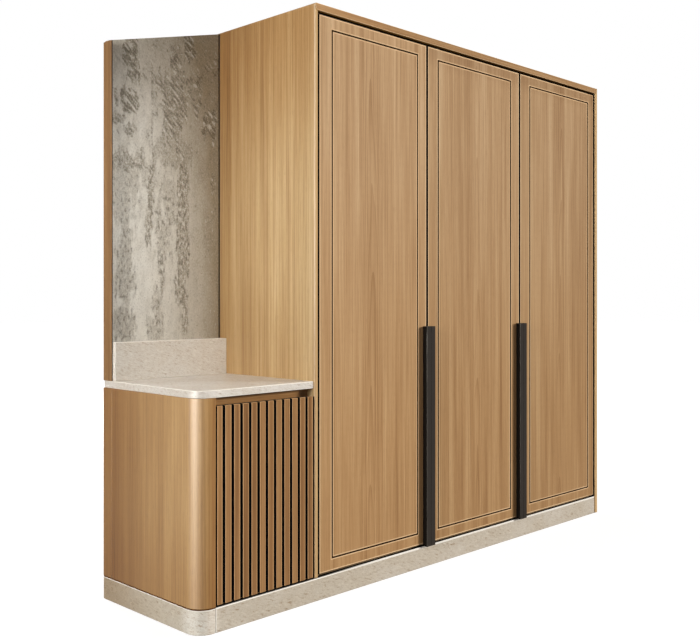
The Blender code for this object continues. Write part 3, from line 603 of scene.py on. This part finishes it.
def side_rule(inner_x):
    def rule(c, n):
        if inner_x == RIGHT_IN and c.y < 0.0050:
            return 1 if c.x < LENGTH else 0
        # the inner face beside the door gap is painted black: painted shade
        if c.y < REBATE_Y and abs(c.x - inner_x) < 0.0026 and (abs(n.x) > 0.1 or c.y < 0.0005):
            return 2
        # the outer front arris takes paler oak: a painted highlight
        if c.y < 0.0066 and n.y < -0.40:
            return 3 if abs(c.x - WARD_X0) < 0.0050 else 1
        return 0
    return rule


for word, flip, z0 in (("left", False, PLINTH_H + 0.0004), ("right", True, 0.0)):
    ob = solid("side_" + word, side_profile(flip), z0, HEIGHT, [M_SIDE, M_STILE, M_BLACK_AND_SHADE, M_EDGE_HIGHLIGHT], side_rule(RIGHT_IN if flip else LEFT_IN), r=0.0006)
    carve(ob, solid("seam_cut", top_outline(0.0004), -0.02, DEPTH + 0.02, [M_GROOVE_SHADE], axis="Y", r=0))
    carve(ob, solid("seam_line", top_outline(0.0032), -0.02, 0.0045, [M_GROOVE_SHADE], axis="Y", r=0))
    if not flip:
        corner = arc(WARD_X0 + FRAME_R, HEIGHT - FRAME_R, FRAME_R, 180, 90, 12)
        corner += [(WARD_X0 + FRAME_R, HEIGHT + 0.02), (WARD_X0 - 0.01, HEIGHT + 0.02), (WARD_X0 - 0.01, HEIGHT - FRAME_R)]
        carve(ob, solid("corner_cut", corner, -0.02, DEPTH + 0.02, [M_SIDE], axis="Y", r=0))
    belongs(ob, "carcass", "wardrobe_%s_side" % word, slot="oak_light")


def top_rule(c, n):
    if flat(n, "y", -1):
        return 0
    # the underside behind the front: bright oak near the front is painted light, black deeper in is painted shade
    if 0.0015 < c.y < REBATE_Y and n.z < -0.6:
        return 2 if c.y < 0.019 else 3
    # the front arris takes paler oak: a painted highlight
    if c.y < 0.004 and not flat(n, "z"):
        return 1
    return 0


belongs(solid("top_panel", top_outline(0.0), 0.0, DEPTH, [M_TOP, M_TOP_HIGHLIGHT, M_UNDER_LIT, M_BLACK_AND_SHADE], top_rule, axis="Y", r=0.0016, cuts=(0.019, REBATE_Y)), "carcass",
        "wardrobe_top", slot="oak_veneer")


# ---------------------------------------------------------------- tall doors
# per door: the groove's insets from the left and right edges, its width on the uprights, extra painted shade along the
# right edge
GROOVE_AT = {"left": ((GROOVE_X - 0.001, GROOVE_X - 0.0125), 0.0062, 0.0), "middle": ((GROOVE_X - 0.001, GROOVE_X - 0.001), 0.0078, 0.0),
             "right": ((GROOVE_X + 0.0110, GROOVE_X - 0.0115), 0.0085, 0.0045)}


def door(word, body):
    x0, x1 = DOORS[word]
    z0, z1, y0, y1 = DOOR_Z0, DOOR_Z1, DOOR_Y0, DOOR_Y1
    bm = bmesh.new()
    r = 0.0011
    rows = []                                   # (inset x, inset z, y, slot of the band that ends here)
    rb = 0.0010
    # the door's edge faces and arrises are painted black: painted shade of the gaps
    for k in range(4):                          # rear arris
        w = pi / 2 * k / 3
        rows.append((rb * (1 - sin(w)), rb * (1 - sin(w)), y1 - rb * (1 - cos(w)), 2))
    for k in range(5):                          # front arris
        w = pi / 2 * k / 4
        rows.append((r * (1 - cos(w)), r * (1 - cos(w)), y0 + r * (1 - sin(w)), 2))
    gz, gw, gd, e, band = GROOVE_Z - 0.001, GROOVE_W + 0.002, GROOVE_D, 0.0004, 0.0044
    (left, right), wide, right_shade = GROOVE_AT[word]
    first = 0.0013 if word == "left" else 0.0019
    # a thin black rim on the front is painted shade; the band after it is a painted highlight
    rows += [((first, first + right_shade), 0.0019, y0, 2), ((RIM_HIGHLIGHT_W, RIM_HIGHLIGHT_W + right_shade), RIM_HIGHLIGHT_W, y0, 5)]
    # the groove is painted dark (painted shade) between two paler bands (painted highlights)
    for dx, dz, y, k in ((-e - band, -e - band, y0, 0), (-e, -e, y0, 6), (-e * 0.3, -e * 0.3, y0 + e * 0.3, 3), (0.0, 0.0, y0 + e, 3),
                         (0.0002, 0.0002, y0 + gd, 3), (wide - 0.0002, gw - 0.0002, y0 + gd, 3), (wide, gw, y0 + e, 3),
                         (wide + e * 0.7, gw + e * 0.7, y0 + e * 0.3, 3), (wide + e, gw + e, y0, 3), (wide + e + band, gw + e + band, y0, 6)):
        rows.append(((left + dx, right + dx), gz + dz, y, k))
    loops = []
    for ix, iz, y, _ in rows:
        il, ir = ix if isinstance(ix, tuple) else (ix, ix)
        loops.append([bm.verts.new(p) for p in ((x0 + il, y, z0 + iz), (x1 - ir, y, z0 + iz), (x1 - ir, y, z1 - iz), (x0 + il, y, z1 - iz))])
    slots = {}
    for (a, b), row in zip(zip(loops, loops[1:]), rows[1:]):
        for i in range(4):
            f = bm.faces.new((a[i], a[(i + 1) % 4], b[(i + 1) % 4], b[i]))
            f.material_index = row[3]
    f = bm.faces.new(loops[-1])
    f.material_index = 0
    f = bm.faces.new(loops[0][::-1])
    f.material_index = 4
    ob = to_object("door_panel_" + word, bm, [M_DOOR[word], M_EDGE_HIGHLIGHT, M_BLACK_AND_SHADE, M_GROOVE_SHADE, M_INSIDE, M_RIM_HIGHLIGHT, M_GROOVE_HIGHLIGHT])
    hinge_x = x0 + CUP_INSET if word == "left" else x1 - CUP_INSET
    bm = bmesh.new()
    depth = CUP_DEPTH + 0.0005 + 0.004
    for z in HINGES_Z:
        place = Matrix.Translation((hinge_x, y1 - CUP_DEPTH - 0.0005 + depth / 2, z)) @ Matrix.Rotation(pi / 2, 4, "X")
        bmesh.ops.create_cone(bm, cap_ends=True, segments=48, radius1=CUP_R + 0.0003, radius2=CUP_R + 0.0003, depth=depth, matrix=place)
    carve(ob, to_object("bores_" + word, bm, [M_BOARD]))
    belongs(ob, body, "door_" + word, slot="oak_veneer")


door("left", "left_door")
door("middle", "middle_door")
door("right", "right_door")


# ---------------------------------------------------------------- bar handles
def handle(name, split_x, side, body, node):
    y0, y1 = HANDLE_Y0, HANDLE_Y1
    inner, outer = 0.0007, HANDLE_HALF
    g0 = (y0 + y1) / 2 + 0.0005
    d = 0.0035
    corners = [(inner, y1, 0.0004), (inner, y0, 0.0004), (outer, y0, 0.0020), (outer, g0, 0.0008), (outer - d, g0 + 0.0018, 0.0012),
               (outer - d, g0 + 0.0072, 0.0012), (outer, g0 + 0.0090, 0.0008), (outer, y1, 0.0005)]
    corners = [(split_x + side * a, b, r) for a, b, r in corners]
    corner_x = split_x + side * outer

    def rule(c, n):
        # the front arris at the outer side takes a paler finish (painted highlight); the outer flank and the rear part
        # take a darker one (painted shade)
        near_edge = abs(c.x - corner_x) < 0.0021 and c.y < y0 + 0.0021
        if near_edge and not flat(n, "x") and not flat(n, "y") and not flat(n, "z"):
            return 1
        return 2 if n.x * side > 0.3 or c.y > y0 + 0.004 and not flat(n, "z") else 0

    ob = solid(name, fillet(corners, 5), HANDLE_Z0, HANDLE_Z1, [M_METAL, M_METAL_HIGHLIGHT, M_METAL_SHADE], rule, r=0.0006, seg=2)
    belongs(ob, body, node, slot="black_metal")


handle("bar_left_outer", SPLIT_12, -1, "left_door", "handle_left_outer")
handle("bar_left_inner", SPLIT_12, 1, "middle_door", "handle_left_inner")
handle("bar_right_inner", SPLIT_23, -1, "middle_door", "handle_right_inner")
handle("bar_right_outer", SPLIT_23, 1, "right_door", "handle_right_outer")


# ---------------------------------------------------------------- base cabinet: bent side, scribe strip, finger rail, slats
def bent(front_x, thickness, rear_y, r_end):
    outer = arc(CORNER_R, CORNER_R, CORNER_R, 270, 180, 40)
    inner = arc(CORNER_R, CORNER_R, CORNER_R - thickness, 180, 270, 30)
    return ([(front_x, r_end), (front_x - r_end * 0.3, r_end * 0.3), (front_x - r_end, 0.0)] + outer
            + [(0.0, rear_y - r_end), (r_end * 0.3, rear_y - r_end * 0.3), (r_end, rear_y), (thickness, rear_y)]
            + inner + [(front_x, thickness)])


belongs(solid("bent_side", bent(CAB_POST_X, CAB_SIDE_T, SEAM_Y, 0.0012), PLINTH_H + 0.0003, CAB_TOP_Z, [M_BASE, M_EDGE_HIGHLIGHT], r=0.0010), "carcass",
        "cabinet_side_curved", slot="oak_veneer")
belongs(slab("scribe_strip", (0.0, CAB_SIDE_T), (SEAM_Y + 0.0008, DEPTH), (PLINTH_H + 0.0003, CAB_TOP_Z), [M_BASE], r=0.0010), "carcass",
        "cabinet_side_curved", slot="oak_veneer")
belongs(slab("finger_board", (CAB_POST_X + 0.0003, CAB_X1), (0.040, 0.058), (0.748, CAB_TOP_Z), [M_FINGER], r=0.0008), "carcass", "finger_rail",
        slot="oak_dark")

slat_w = (SLAT_X1 - SLAT_X0 - (SLATS - 1) * SLAT_GAP) / SLATS


# width of the painted highlight band at each side of a slat's front
SLAT_BAND = 0.0030


def slat_rule(u0, u1):
    def rule(c, n):
        # the front's side bands are a painted highlight; the sides, back and underside are painted black as shade of
        # the gaps
        if flat(n, "y", -1):
            return 1 if min(c.x - u0, u1 - c.x) < SLAT_BAND else 0
        if abs(n.x) > 0.8 or n.y > 0.5 or n.z < -0.8:
            return 2
        return 1
    return rule


def gap_shift(i):
    """The gaps near the post lie a little closer to it."""
    return -0.0034 * (1 - i / (SLATS - 2)) if 0 <= i < SLATS - 1 else 0.0


for i in range(SLATS):
    u0 = SLAT_X0 + i * (slat_w + SLAT_GAP) + 0.0014 + gap_shift(i - 1)
    u1 = SLAT_X0 + i * (slat_w + SLAT_GAP) + slat_w - 0.0014 + gap_shift(i)
    outline = fillet([(u0, 0.0, 0.0008), (u0 + SLAT_BAND, 0.0, 0.0), (u1 - SLAT_BAND, 0.0, 0.0), (u1, 0.0, 0.0008), (u1, 0.0080, 0.0), (u0, 0.0080, 0.0)], 4)
    ob = solid("slat_%02d" % (i + 1), outline, SLAT_Z0, SLAT_Z1, [M_SLAT, M_SLAT_HIGHLIGHT, M_BLACK_AND_SHADE], slat_rule(u0, u1), r=0.0007)
    belongs(ob, "slat_door", "slat_screen", slot="oak_veneer")
belongs(slab("slat_felt", (SLAT_X0, SLAT_X1), (0.00805, 0.0102), (SLAT_Z0 + 0.0005, SLAT_Z1 - 0.0005), [M_BLACK_AND_SHADE], r=0.0004, seg=2), "slat_door",
        "slat_screen", slot="black_board")
# a black strip in the gap between the slats and the wardrobe side: painted shade
belongs(slab("gap_shade_strip", (0.5432, 0.5449), (0.0022, 0.0255), (PLINTH_H + 0.0010, SLAT_Z1 - 0.0010), [M_BLACK_AND_SHADE], r=0.0004, seg=2), "carcass",
        slot="black_board")


# ---------------------------------------------------------------- stone: plinth, counter, upstand
PLINTH_LINE = 0.0074       # foot of the plinth's painted highlight line, below its top


def plinth_rule(c, n):
    # the top face is black: painted shade under the doors; the top arris and a line on the front below it are near
    # white: painted highlight
    if n.z > 0.995:
        return 1
    if n.z > 0.15:
        return 2
    return 3 if n.y < -0.05 and (c.z > PLINTH_H - PLINTH_LINE or n.x < -0.05) else 0


def bend_rule(c, n):
    # the top face and a top band are black under the slats and a shadow line elsewhere: painted shade; below them a
    # painted highlight line
    if n.z > 0.995:
        return 1
    if c.z > PLINTH_H - 0.0040:
        return 1 if c.x > CAB_POST_X and c.y < 0.01 else 3
    return 2 if c.z > PLINTH_H - PLINTH_LINE or (c.x > PLINTH_JOINT - 0.0036 and n.y < -0.05) else 0


def arris_rule(c, n):
    # arrises take near-white stone: a painted highlight
    return 0 if flat(n, "x") or flat(n, "y") or flat(n, "z") else 1


def counter_rule(c, n):
    # arrises take near-white stone: a painted highlight
    return 1 if 0.15 < abs(n.z) < 0.99 else 0


belongs(solid("plinth_bend", bent(PLINTH_JOINT - 0.0005, PLINTH_T, DEPTH, 0.0028), 0.0, PLINTH_H, [M_STONE_BASE, M_BLACK_AND_SHADE, M_STONE_HIGHLIGHT, M_SHADOWLINE], bend_rule,
              r=0.0024, cuts=(PLINTH_H - PLINTH_LINE, PLINTH_H - 0.0040)),
        "carcass", "plinth_corner", slot="stone")
strip = fillet([(PLINTH_JOINT + 0.0010, 0.0, 0.0028), (PLINTH_END, 0.0, 0.0028), (PLINTH_END, PLINTH_T, 0.0028), (PLINTH_JOINT + 0.0010, PLINTH_T, 0.0028)], 3)
belongs(solid("plinth_strip", strip, 0.0, PLINTH_H, [M_STONE_BASE, M_BLACK_AND_SHADE, M_PLINTH_HIGHLIGHT, M_STONE_HIGHLIGHT], plinth_rule, r=0.0024, cuts=(PLINTH_H - PLINTH_LINE,)),
        "carcass", "plinth_front", slot="stone")
counter = arc(CORNER_R, CORNER_R, CORNER_R, 180, 270, 40)
counter += fillet([(CAB_X1, 0.0, 0.0030), (CAB_X1, DEPTH, 0.0030), (0.0, DEPTH, 0.0030)], 3)
belongs(solid("counter_slab", counter, COUNTER_Z0, COUNTER_Z1, [M_STONE, M_STONE_HIGHLIGHT], counter_rule, r=0.0025), "carcass", "countertop", slot="stone")
belongs(slab("upstand_slab", (0.0083, CAB_X1), (0.5445, 0.5897), (NICHE_Z0, 0.994), [M_STONE_UP, M_STONE_HIGHLIGHT], arris_rule, r=0.0020), "carcass", "upstand", slot="stone")


# ---------------------------------------------------------------- niche: edge strip, plaster panel
def strip_rule(c, n):
    # the strip's inner side, back and front band next to the plaster take the near-black edge: painted shade
    return 1 if n.x > 0.5 or flat(n, "y", 1) or c.x > 0.0046 and n.y < -0.3 else 0


strip = fillet([(0.0, 0.560, 0.0014), (0.0046, 0.560, 0.0), (0.008, 0.560, 0.0014), (0.008, DEPTH, 0.0014), (0.0, DEPTH, 0.0014)], 3)
belongs(solid("niche_strip", strip, NICHE_Z0, STRIP_TOP, [M_STRIP, M_STRIP_SHADE], strip_rule, r=0.0012), "carcass", "niche_edge_strip", slot="oak_light")


# upright drifts of torn plaster: across (0..1 of the panel), up (in parts of 1.234 m above the upstand), half width, half length, strength
DRIFTS = [(0.193, 0.920, 0.061, 0.070, 0.95), (0.254, 0.876, 0.008, 0.034, 1.00), (0.166, 0.769, 0.088, 0.030, 1.00), (0.084, 0.708, 0.049, 0.015, 0.85),
          (0.176, 0.678, 0.044, 0.017, 0.80), (0.368, 0.778, 0.008, 0.127, 0.62), (0.555, 0.784, 0.096, 0.116, 0.80), (0.578, 0.940, 0.071, 0.035, 0.65),
          (0.706, 0.973, 0.043, 0.047, 0.90), (0.774, 0.831, 0.062, 0.053, 0.60), (0.900, 0.730, 0.051, 0.043, 0.85), (0.567, 0.617, 0.155, 0.043, 0.60),
          (0.138, 0.574, 0.104, 0.027, 0.80), (0.282, 0.597, 0.017, 0.023, 0.80), (0.350, 0.482, 0.029, 0.070, 0.85), (0.651, 0.497, 0.048, 0.080, 0.85),
          (0.931, 0.534, 0.020, 0.034, 0.60), (0.132, 0.247, 0.060, 0.137, 0.60), (0.125, 0.058, 0.067, 0.054, 0.60), (0.339, 0.388, 0.024, 0.068, 0.75),
          (0.451, 0.356, 0.050, 0.103, 0.60), (0.451, 0.196, 0.012, 0.057, 0.70), (0.426, 0.057, 0.025, 0.056, 0.60), (0.636, 0.290, 0.058, 0.176, 0.75),
          (0.882, 0.368, 0.041, 0.077, 0.30),
          (0.150, 0.505, 0.105, 0.070, 0.50), (0.105, 0.420, 0.060, 0.050, 0.50), (0.520, 0.445, 0.065, 0.085, 0.48), (0.400, 0.130, 0.030, 0.050, 0.45),
          (0.345, 0.535, 0.065, 0.050, 0.50), (0.400, 0.020, 0.055, 0.045, 0.50)]


def smooth(v):
    v = max(0.0, min(1.0, v))
    return v * v * (3 - 2 * v)


def place_at(x, z):
    return (x - 0.0083) / (CAB_X1 - 0.0083), (z - 0.994) / 1.234


def torn_at(x, z):
    """How torn the plaster is at a place of the panel."""
    u, h = place_at(x, z)
    ragged = mnoise.fractal(Vector((x * 30.0, 9.0, z * 11.0)), 0.8, 2.1, 4)
    fray = mnoise.fractal(Vector((x * 60.0, 3.0, z * 5.0)), 0.9, 2.0, 3)
    shred = mnoise.noise(Vector((x * 95.0, 6.0, z * 36.0)))
    best = 0.0
    for cu, ch, wu, wh, k in DRIFTS:
        d = sqrt(((u - cu) / wu) ** 2 + ((h - ch) / wh) ** 2)
        best = max(best, k * smooth(1.4 * (1.66 - d + 0.70 * ragged + 0.50 * fray + 0.40 * shred)))
    light_wear = 0.08 + 0.20 * smooth(h) + 0.24 * ragged + 0.12 * shred
    return max(0.0, min(1.0, max(best, light_wear)))


def fleck_at(x, z):
    """Torn grain in about -1..1: slanting strokes above, upright crumbs below."""
    along, across = 0.72 * x - 0.69 * z, 0.69 * x + 0.72 * z
    a = mnoise.noise(Vector((across * 105.0, 1.0, along * 30.0)))
    b = mnoise.noise(Vector((x * 112.0, 5.0, z * 50.0)))
    c = mnoise.noise(Vector((x * 270.0, 8.0, z * 180.0)))
    w = smooth((z - 1.45) / 0.5)
    return 1.25 * (w * a + (1 - w) * b) + 0.60 * c


def tone_and_shade_at(x, z):
    """Ground tone and painted shade: pale at the lower left, deeper to the top and the right; the darker band along the
    top left is painted shade.
    """
    u, h = place_at(x, z)
    h = max(0.0, h)
    return max(0.0, min(1.0, 0.04 + 0.27 * h * h + 0.96 * u * u + 0.10 * u * h * h + 0.19 * smooth((h - 0.80) / 0.20) * (1 - u)))


def plaster_panel():
    x0, x1, z0 = 0.0083, CAB_X1, NICHE_Z0
    y0, y1 = 0.590, 0.598
    nx, nz = 208, 536
    bm = bmesh.new()
    layers = {k: bm.verts.layers.float.new(k) for k in ("torn", "pit", "crest", "tone", "reveal")}
    grid = []
    for k in range(nz + 1):
        row = []
        for i in range(nx + 1):
            x = x0 + (x1 - x0) * i / nx
            z = z0 + (NICHE_LEFT + (NICHE_RIGHT - NICHE_LEFT) * i / nx - z0) * k / nz
            rim = i in (0, nx) or k in (0, nz)
            t = torn_at(x, z)
            f = fleck_at(x, z)
            dots = mnoise.noise(Vector((x * 230.0, 4.0, z * 170.0)))
            pit = max(smooth((f - 0.54 + 0.66 * t) / 0.40) * smooth((t - 0.10) / 0.36), 0.62 * smooth((dots - 0.34) / 0.22))
            crest = smooth((-f - 0.70 + 0.60 * t) / 0.40) * min(1.0, 0.25 + t)
            wave = 0.00018 * (1 + mnoise.noise(Vector((x * 14, 2.0, z * 6))))
            # the last millimetres at the right edge are pushed back and carry the reveal, painted near black as shade
            edge = smooth((x - x1 + 0.0062) / 0.0022)
            y = y0 if rim else y0 + 0.0004 + wave + 0.0010 * pit - 0.0003 * crest + 0.0035 * edge
            v = bm.verts.new((x, y, z))
            for key, value in zip(("torn", "pit", "crest", "tone", "reveal"), (t, pit, crest, tone_and_shade_at(x, z), edge)):
                v[layers[key]] = value
            row.append(v)
        grid.append(row)
    for k in range(nz):
        for i in range(nx):
            bm.faces.new((grid[k][i], grid[k][i + 1], grid[k + 1][i + 1], grid[k + 1][i]))
    ring = [grid[0][i] for i in range(nx + 1)] + [grid[k][nx] for k in range(1, nz + 1)]
    ring += [grid[nz][i] for i in range(nx - 1, -1, -1)] + [grid[k][0] for k in range(nz - 1, 0, -1)]
    rear = [bm.verts.new((v.co.x, y1, v.co.z)) for v in ring]
    n = len(ring)
    for i in range(n):
        j = (i + 1) % n
        bm.faces.new((ring[i], rear[i], rear[j], ring[j]))
    bm.faces.new(rear)
    return to_object("plaster_skin", bm, [M_PLASTER], smooth=60)


belongs(plaster_panel(), "carcass", "plaster_panel", slot="plaster")


# ---------------------------------------------------------------- screws that hold the back boards to the decks, shelves and partition
def back_screws():
    rows = [((x, 0.0997) for x in (0.68, 0.98, 1.28, 1.58, 1.86, 2.06, 2.30, 2.54)), ((x, 2.0335) for x in (0.66, 1.02, 1.38, 1.74)),
            ((SPLIT_23, z) for z in (0.30, 0.62, 0.94, 1.26, 1.58, 1.90, 2.18)), ((x, 0.791) for x in (2.06, 2.30, 2.54)),
            ((x, 1.531) for x in (2.06, 2.30, 2.54)), ((x, 0.0997) for x in (0.14, 0.31, 0.48)), ((x, 0.451) for x in (0.14, 0.31, 0.48)),
            ((0.0642, z) for z in (0.25, 0.60))]
    bm = bmesh.new()
    n = 36
    for row in rows:
        for x, z in row:
            rings = []
            for r, up, lobe in ((0.0046, 0.0, 0.0), (0.0045, 0.0005, 0.0), (0.0038, 0.0010, 0.0), (0.0021, 0.0012, 0.16), (0.0018, 0.0003, 0.16)):
                ring = []
                for i in range(n):
                    a = 2 * pi * i / n
                    q = r * (1 + lobe * cos(6 * a))
                    ring.append(bm.verts.new((x + q * cos(a), BACK_Y1 + up, z + q * sin(a))))
                rings.append(ring)
            for one, two in zip(rings, rings[1:]):
                for i in range(n):
                    j = (i + 1) % n
                    bm.faces.new((one[i], one[j], two[j], two[i]))
            bm.faces.new(rings[0])
            bm.faces.new(rings[-1])
    return to_object("back_screws", bm, [M_STEEL], smooth=30)


belongs(back_screws(), "carcass", slot="steel")


# ---------------------------------------------------------------- CAD nodes that stay: finer arrises and finishes
def dress(node, mat, bevel=0.0008, seg=2, front=None):
    """Finish for a CAD node; front is another finish for the faces that look forward."""
    ob = NODES[node]
    ob.data.materials.clear()
    ob.data.materials.append(mat)
    if front:
        ob.data.materials.append(front)
        turn = ob.matrix_world.to_3x3()
        for f in ob.data.polygons:
            f.material_index = 1 if (turn @ f.normal).normalized().y < -0.9 else 0
    if bevel:
        b = ob.modifiers.new("arris", "BEVEL")
        b.width, b.segments, b.limit_method, b.angle_limit = bevel, seg, "ANGLE", radians(40)
        b.use_clamp_overlap = True
        b.harden_normals = True


for node in ("wardrobe_deck", "hat_shelf", "right_shelf_lower", "right_shelf_upper", "cabinet_deck", "cabinet_shelf"):
    dress(node, M_INSIDE_X)
for node in ("wardrobe_partition", "cabinet_inner_side"):
    dress(node, M_INSIDE)
for node in ("base_rail_front", "base_rail_rear", "base_cross_left", "base_cross_middle", "niche_back_board"):
    dress(node, M_BOARD, 0.0006)
for node in ("wardrobe_back", "cabinet_back"):
    dress(node, M_BOARD, 0.0006, front=M_INSIDE)
dress("slat_door_board", M_CHARCOAL, 0.0005, front=M_BLACK_AND_SHADE)
for node in NODES:
    if node.startswith("hinge_"):
        dress(node, M_STEEL, 0.0004)
    elif node.startswith("rail_socket") or node == "hanging_rail":
        dress(node, M_CHROME, 0.0005 if node != "hanging_rail" else 0.0008)

# ---------------------------------------------------------------- floor, light, camera
t = Tree("pale_floor")
speck = t.noise(t.at((60, 60, 60)), detail=3)
t.shade(Base_Color=t.mix(t.span(speck, 0.3, 0.7), (0.22, 0.21, 0.20), (0.24, 0.23, 0.22)))
t.bsdf.inputs["Roughness"].default_value = 0.85
t.bsdf.inputs["Specular IOR Level"].default_value = 0.1
fx, fy, fz = t.split()
far = t.math("SQRT", t.math("MULTIPLY_ADD", fx, fx, t.math("MULTIPLY", fy, fy)))
path = t.nt.nodes.new("ShaderNodeLightPath")
glow = t.math("MULTIPLY", path.outputs["Is Camera Ray"], t.span(far, 1.0, 6.0, 0.86, 1.0, smooth=True))
t.shade(Emission_Color=(1.0, 1.0, 1.0, 1.0), Emission_Strength=glow)
bm = bmesh.new()
bmesh.ops.create_circle(bm, cap_ends=True, segments=96, radius=40.0)
me = bpy.data.meshes.new("floor")
bm.to_mesh(me)
bm.free()
floor = bpy.data.objects.new("floor", me)
floor.location = (0.0, 0.0, -0.0005)
bpy.context.scene.collection.objects.link(floor)
me.materials.append(t.mat)

world = bpy.data.worlds.new("studio")
bpy.context.scene.world = world
world.use_nodes = True
wt = world.node_tree
wt.nodes.clear()
wout = wt.nodes.new("ShaderNodeOutputWorld")
fill = wt.nodes.new("ShaderNodeBackground")
fill.inputs[0].default_value = (1.0, 0.95, 0.88, 1.0)
fill.inputs[1].default_value = 0.14
seen = wt.nodes.new("ShaderNodeBackground")
seen.inputs[0].default_value = (1.0, 1.0, 1.0, 1.0)
seen.inputs[1].default_value = 1.0
path = wt.nodes.new("ShaderNodeLightPath")
blend = wt.nodes.new("ShaderNodeMixShader")
wt.links.new(path.outputs["Is Camera Ray"], blend.inputs[0])
wt.links.new(fill.outputs[0], blend.inputs[1])
wt.links.new(seen.outputs[0], blend.inputs[2])
wt.links.new(blend.outputs[0], wout.inputs[0])


def softbox(name, place, target, size, power, colour=(1.0, 1.0, 1.0)):
    light = bpy.data.lights.new(name, "AREA")
    light.shape = "RECTANGLE"
    light.size, light.size_y = size
    light.energy = power
    light.color = colour
    ob = bpy.data.objects.new(name, light)
    ob.location = place
    ob.rotation_euler = (Vector(target) - Vector(place)).to_track_quat("-Z", "Y").to_euler()
    bpy.context.scene.collection.objects.link(ob)
    return ob


key = softbox("key", (35.3, -26.3, 9.4), (0.1, -0.3, 1.2), (12.0, 6.0), 27000.0, (1.0, 0.985, 0.96))
key.visible_glossy = False
left = softbox("left", (-7.0, -1.3, 2.4), (-0.9, -0.1, 1.2), (1.6, 2.6), 320.0, (1.0, 0.975, 0.94))
strip = softbox("strip", (-6.25, -0.55, 1.45), (-1.25, -0.2, 0.9), (3.4, 2.8), 370.0, (1.0, 0.98, 0.92))
strip.visible_diffuse = False
overhead = softbox("overhead", (-0.3, 0.4, 6.0), (-0.3, 0.2, 0.0), (4.5, 2.4), 100.0)
niche = softbox("niche", (-1.75, -1.2, 2.5), (-1.27, 0.29, 1.40), (0.5, 0.5), 1.8, (0.97, 0.985, 1.0))
niche.data.spread = radians(50)
rear = softbox("rear", (0.9, 7.5, 3.4), (0.1, 0.3, 1.1), (2.4, 2.0), 620.0, (1.0, 0.985, 0.96))
rear.visible_glossy = False
for lamp in (key, left, strip, overhead, niche, rear):
    lamp.visible_camera = False

cam = bpy.data.cameras.new("camera")
cam.sensor_fit, cam.sensor_width = "HORIZONTAL", 36.0
cam.lens = 934.513 * 36.0 / 700.0
cam.shift_y = -22.783 / 700.0
cam.clip_start, cam.clip_end = 0.05, 200.0
eye = bpy.data.objects.new("camera", cam)
eye.location = (-3.23225, -2.91015, 1.16795)
eye.rotation_euler = (pi / 2, 0.0, radians(-45.3706))
bpy.context.scene.collection.objects.link(eye)
bpy.context.scene.camera = eye
bpy.context.scene.view_settings.view_transform = "Standard"
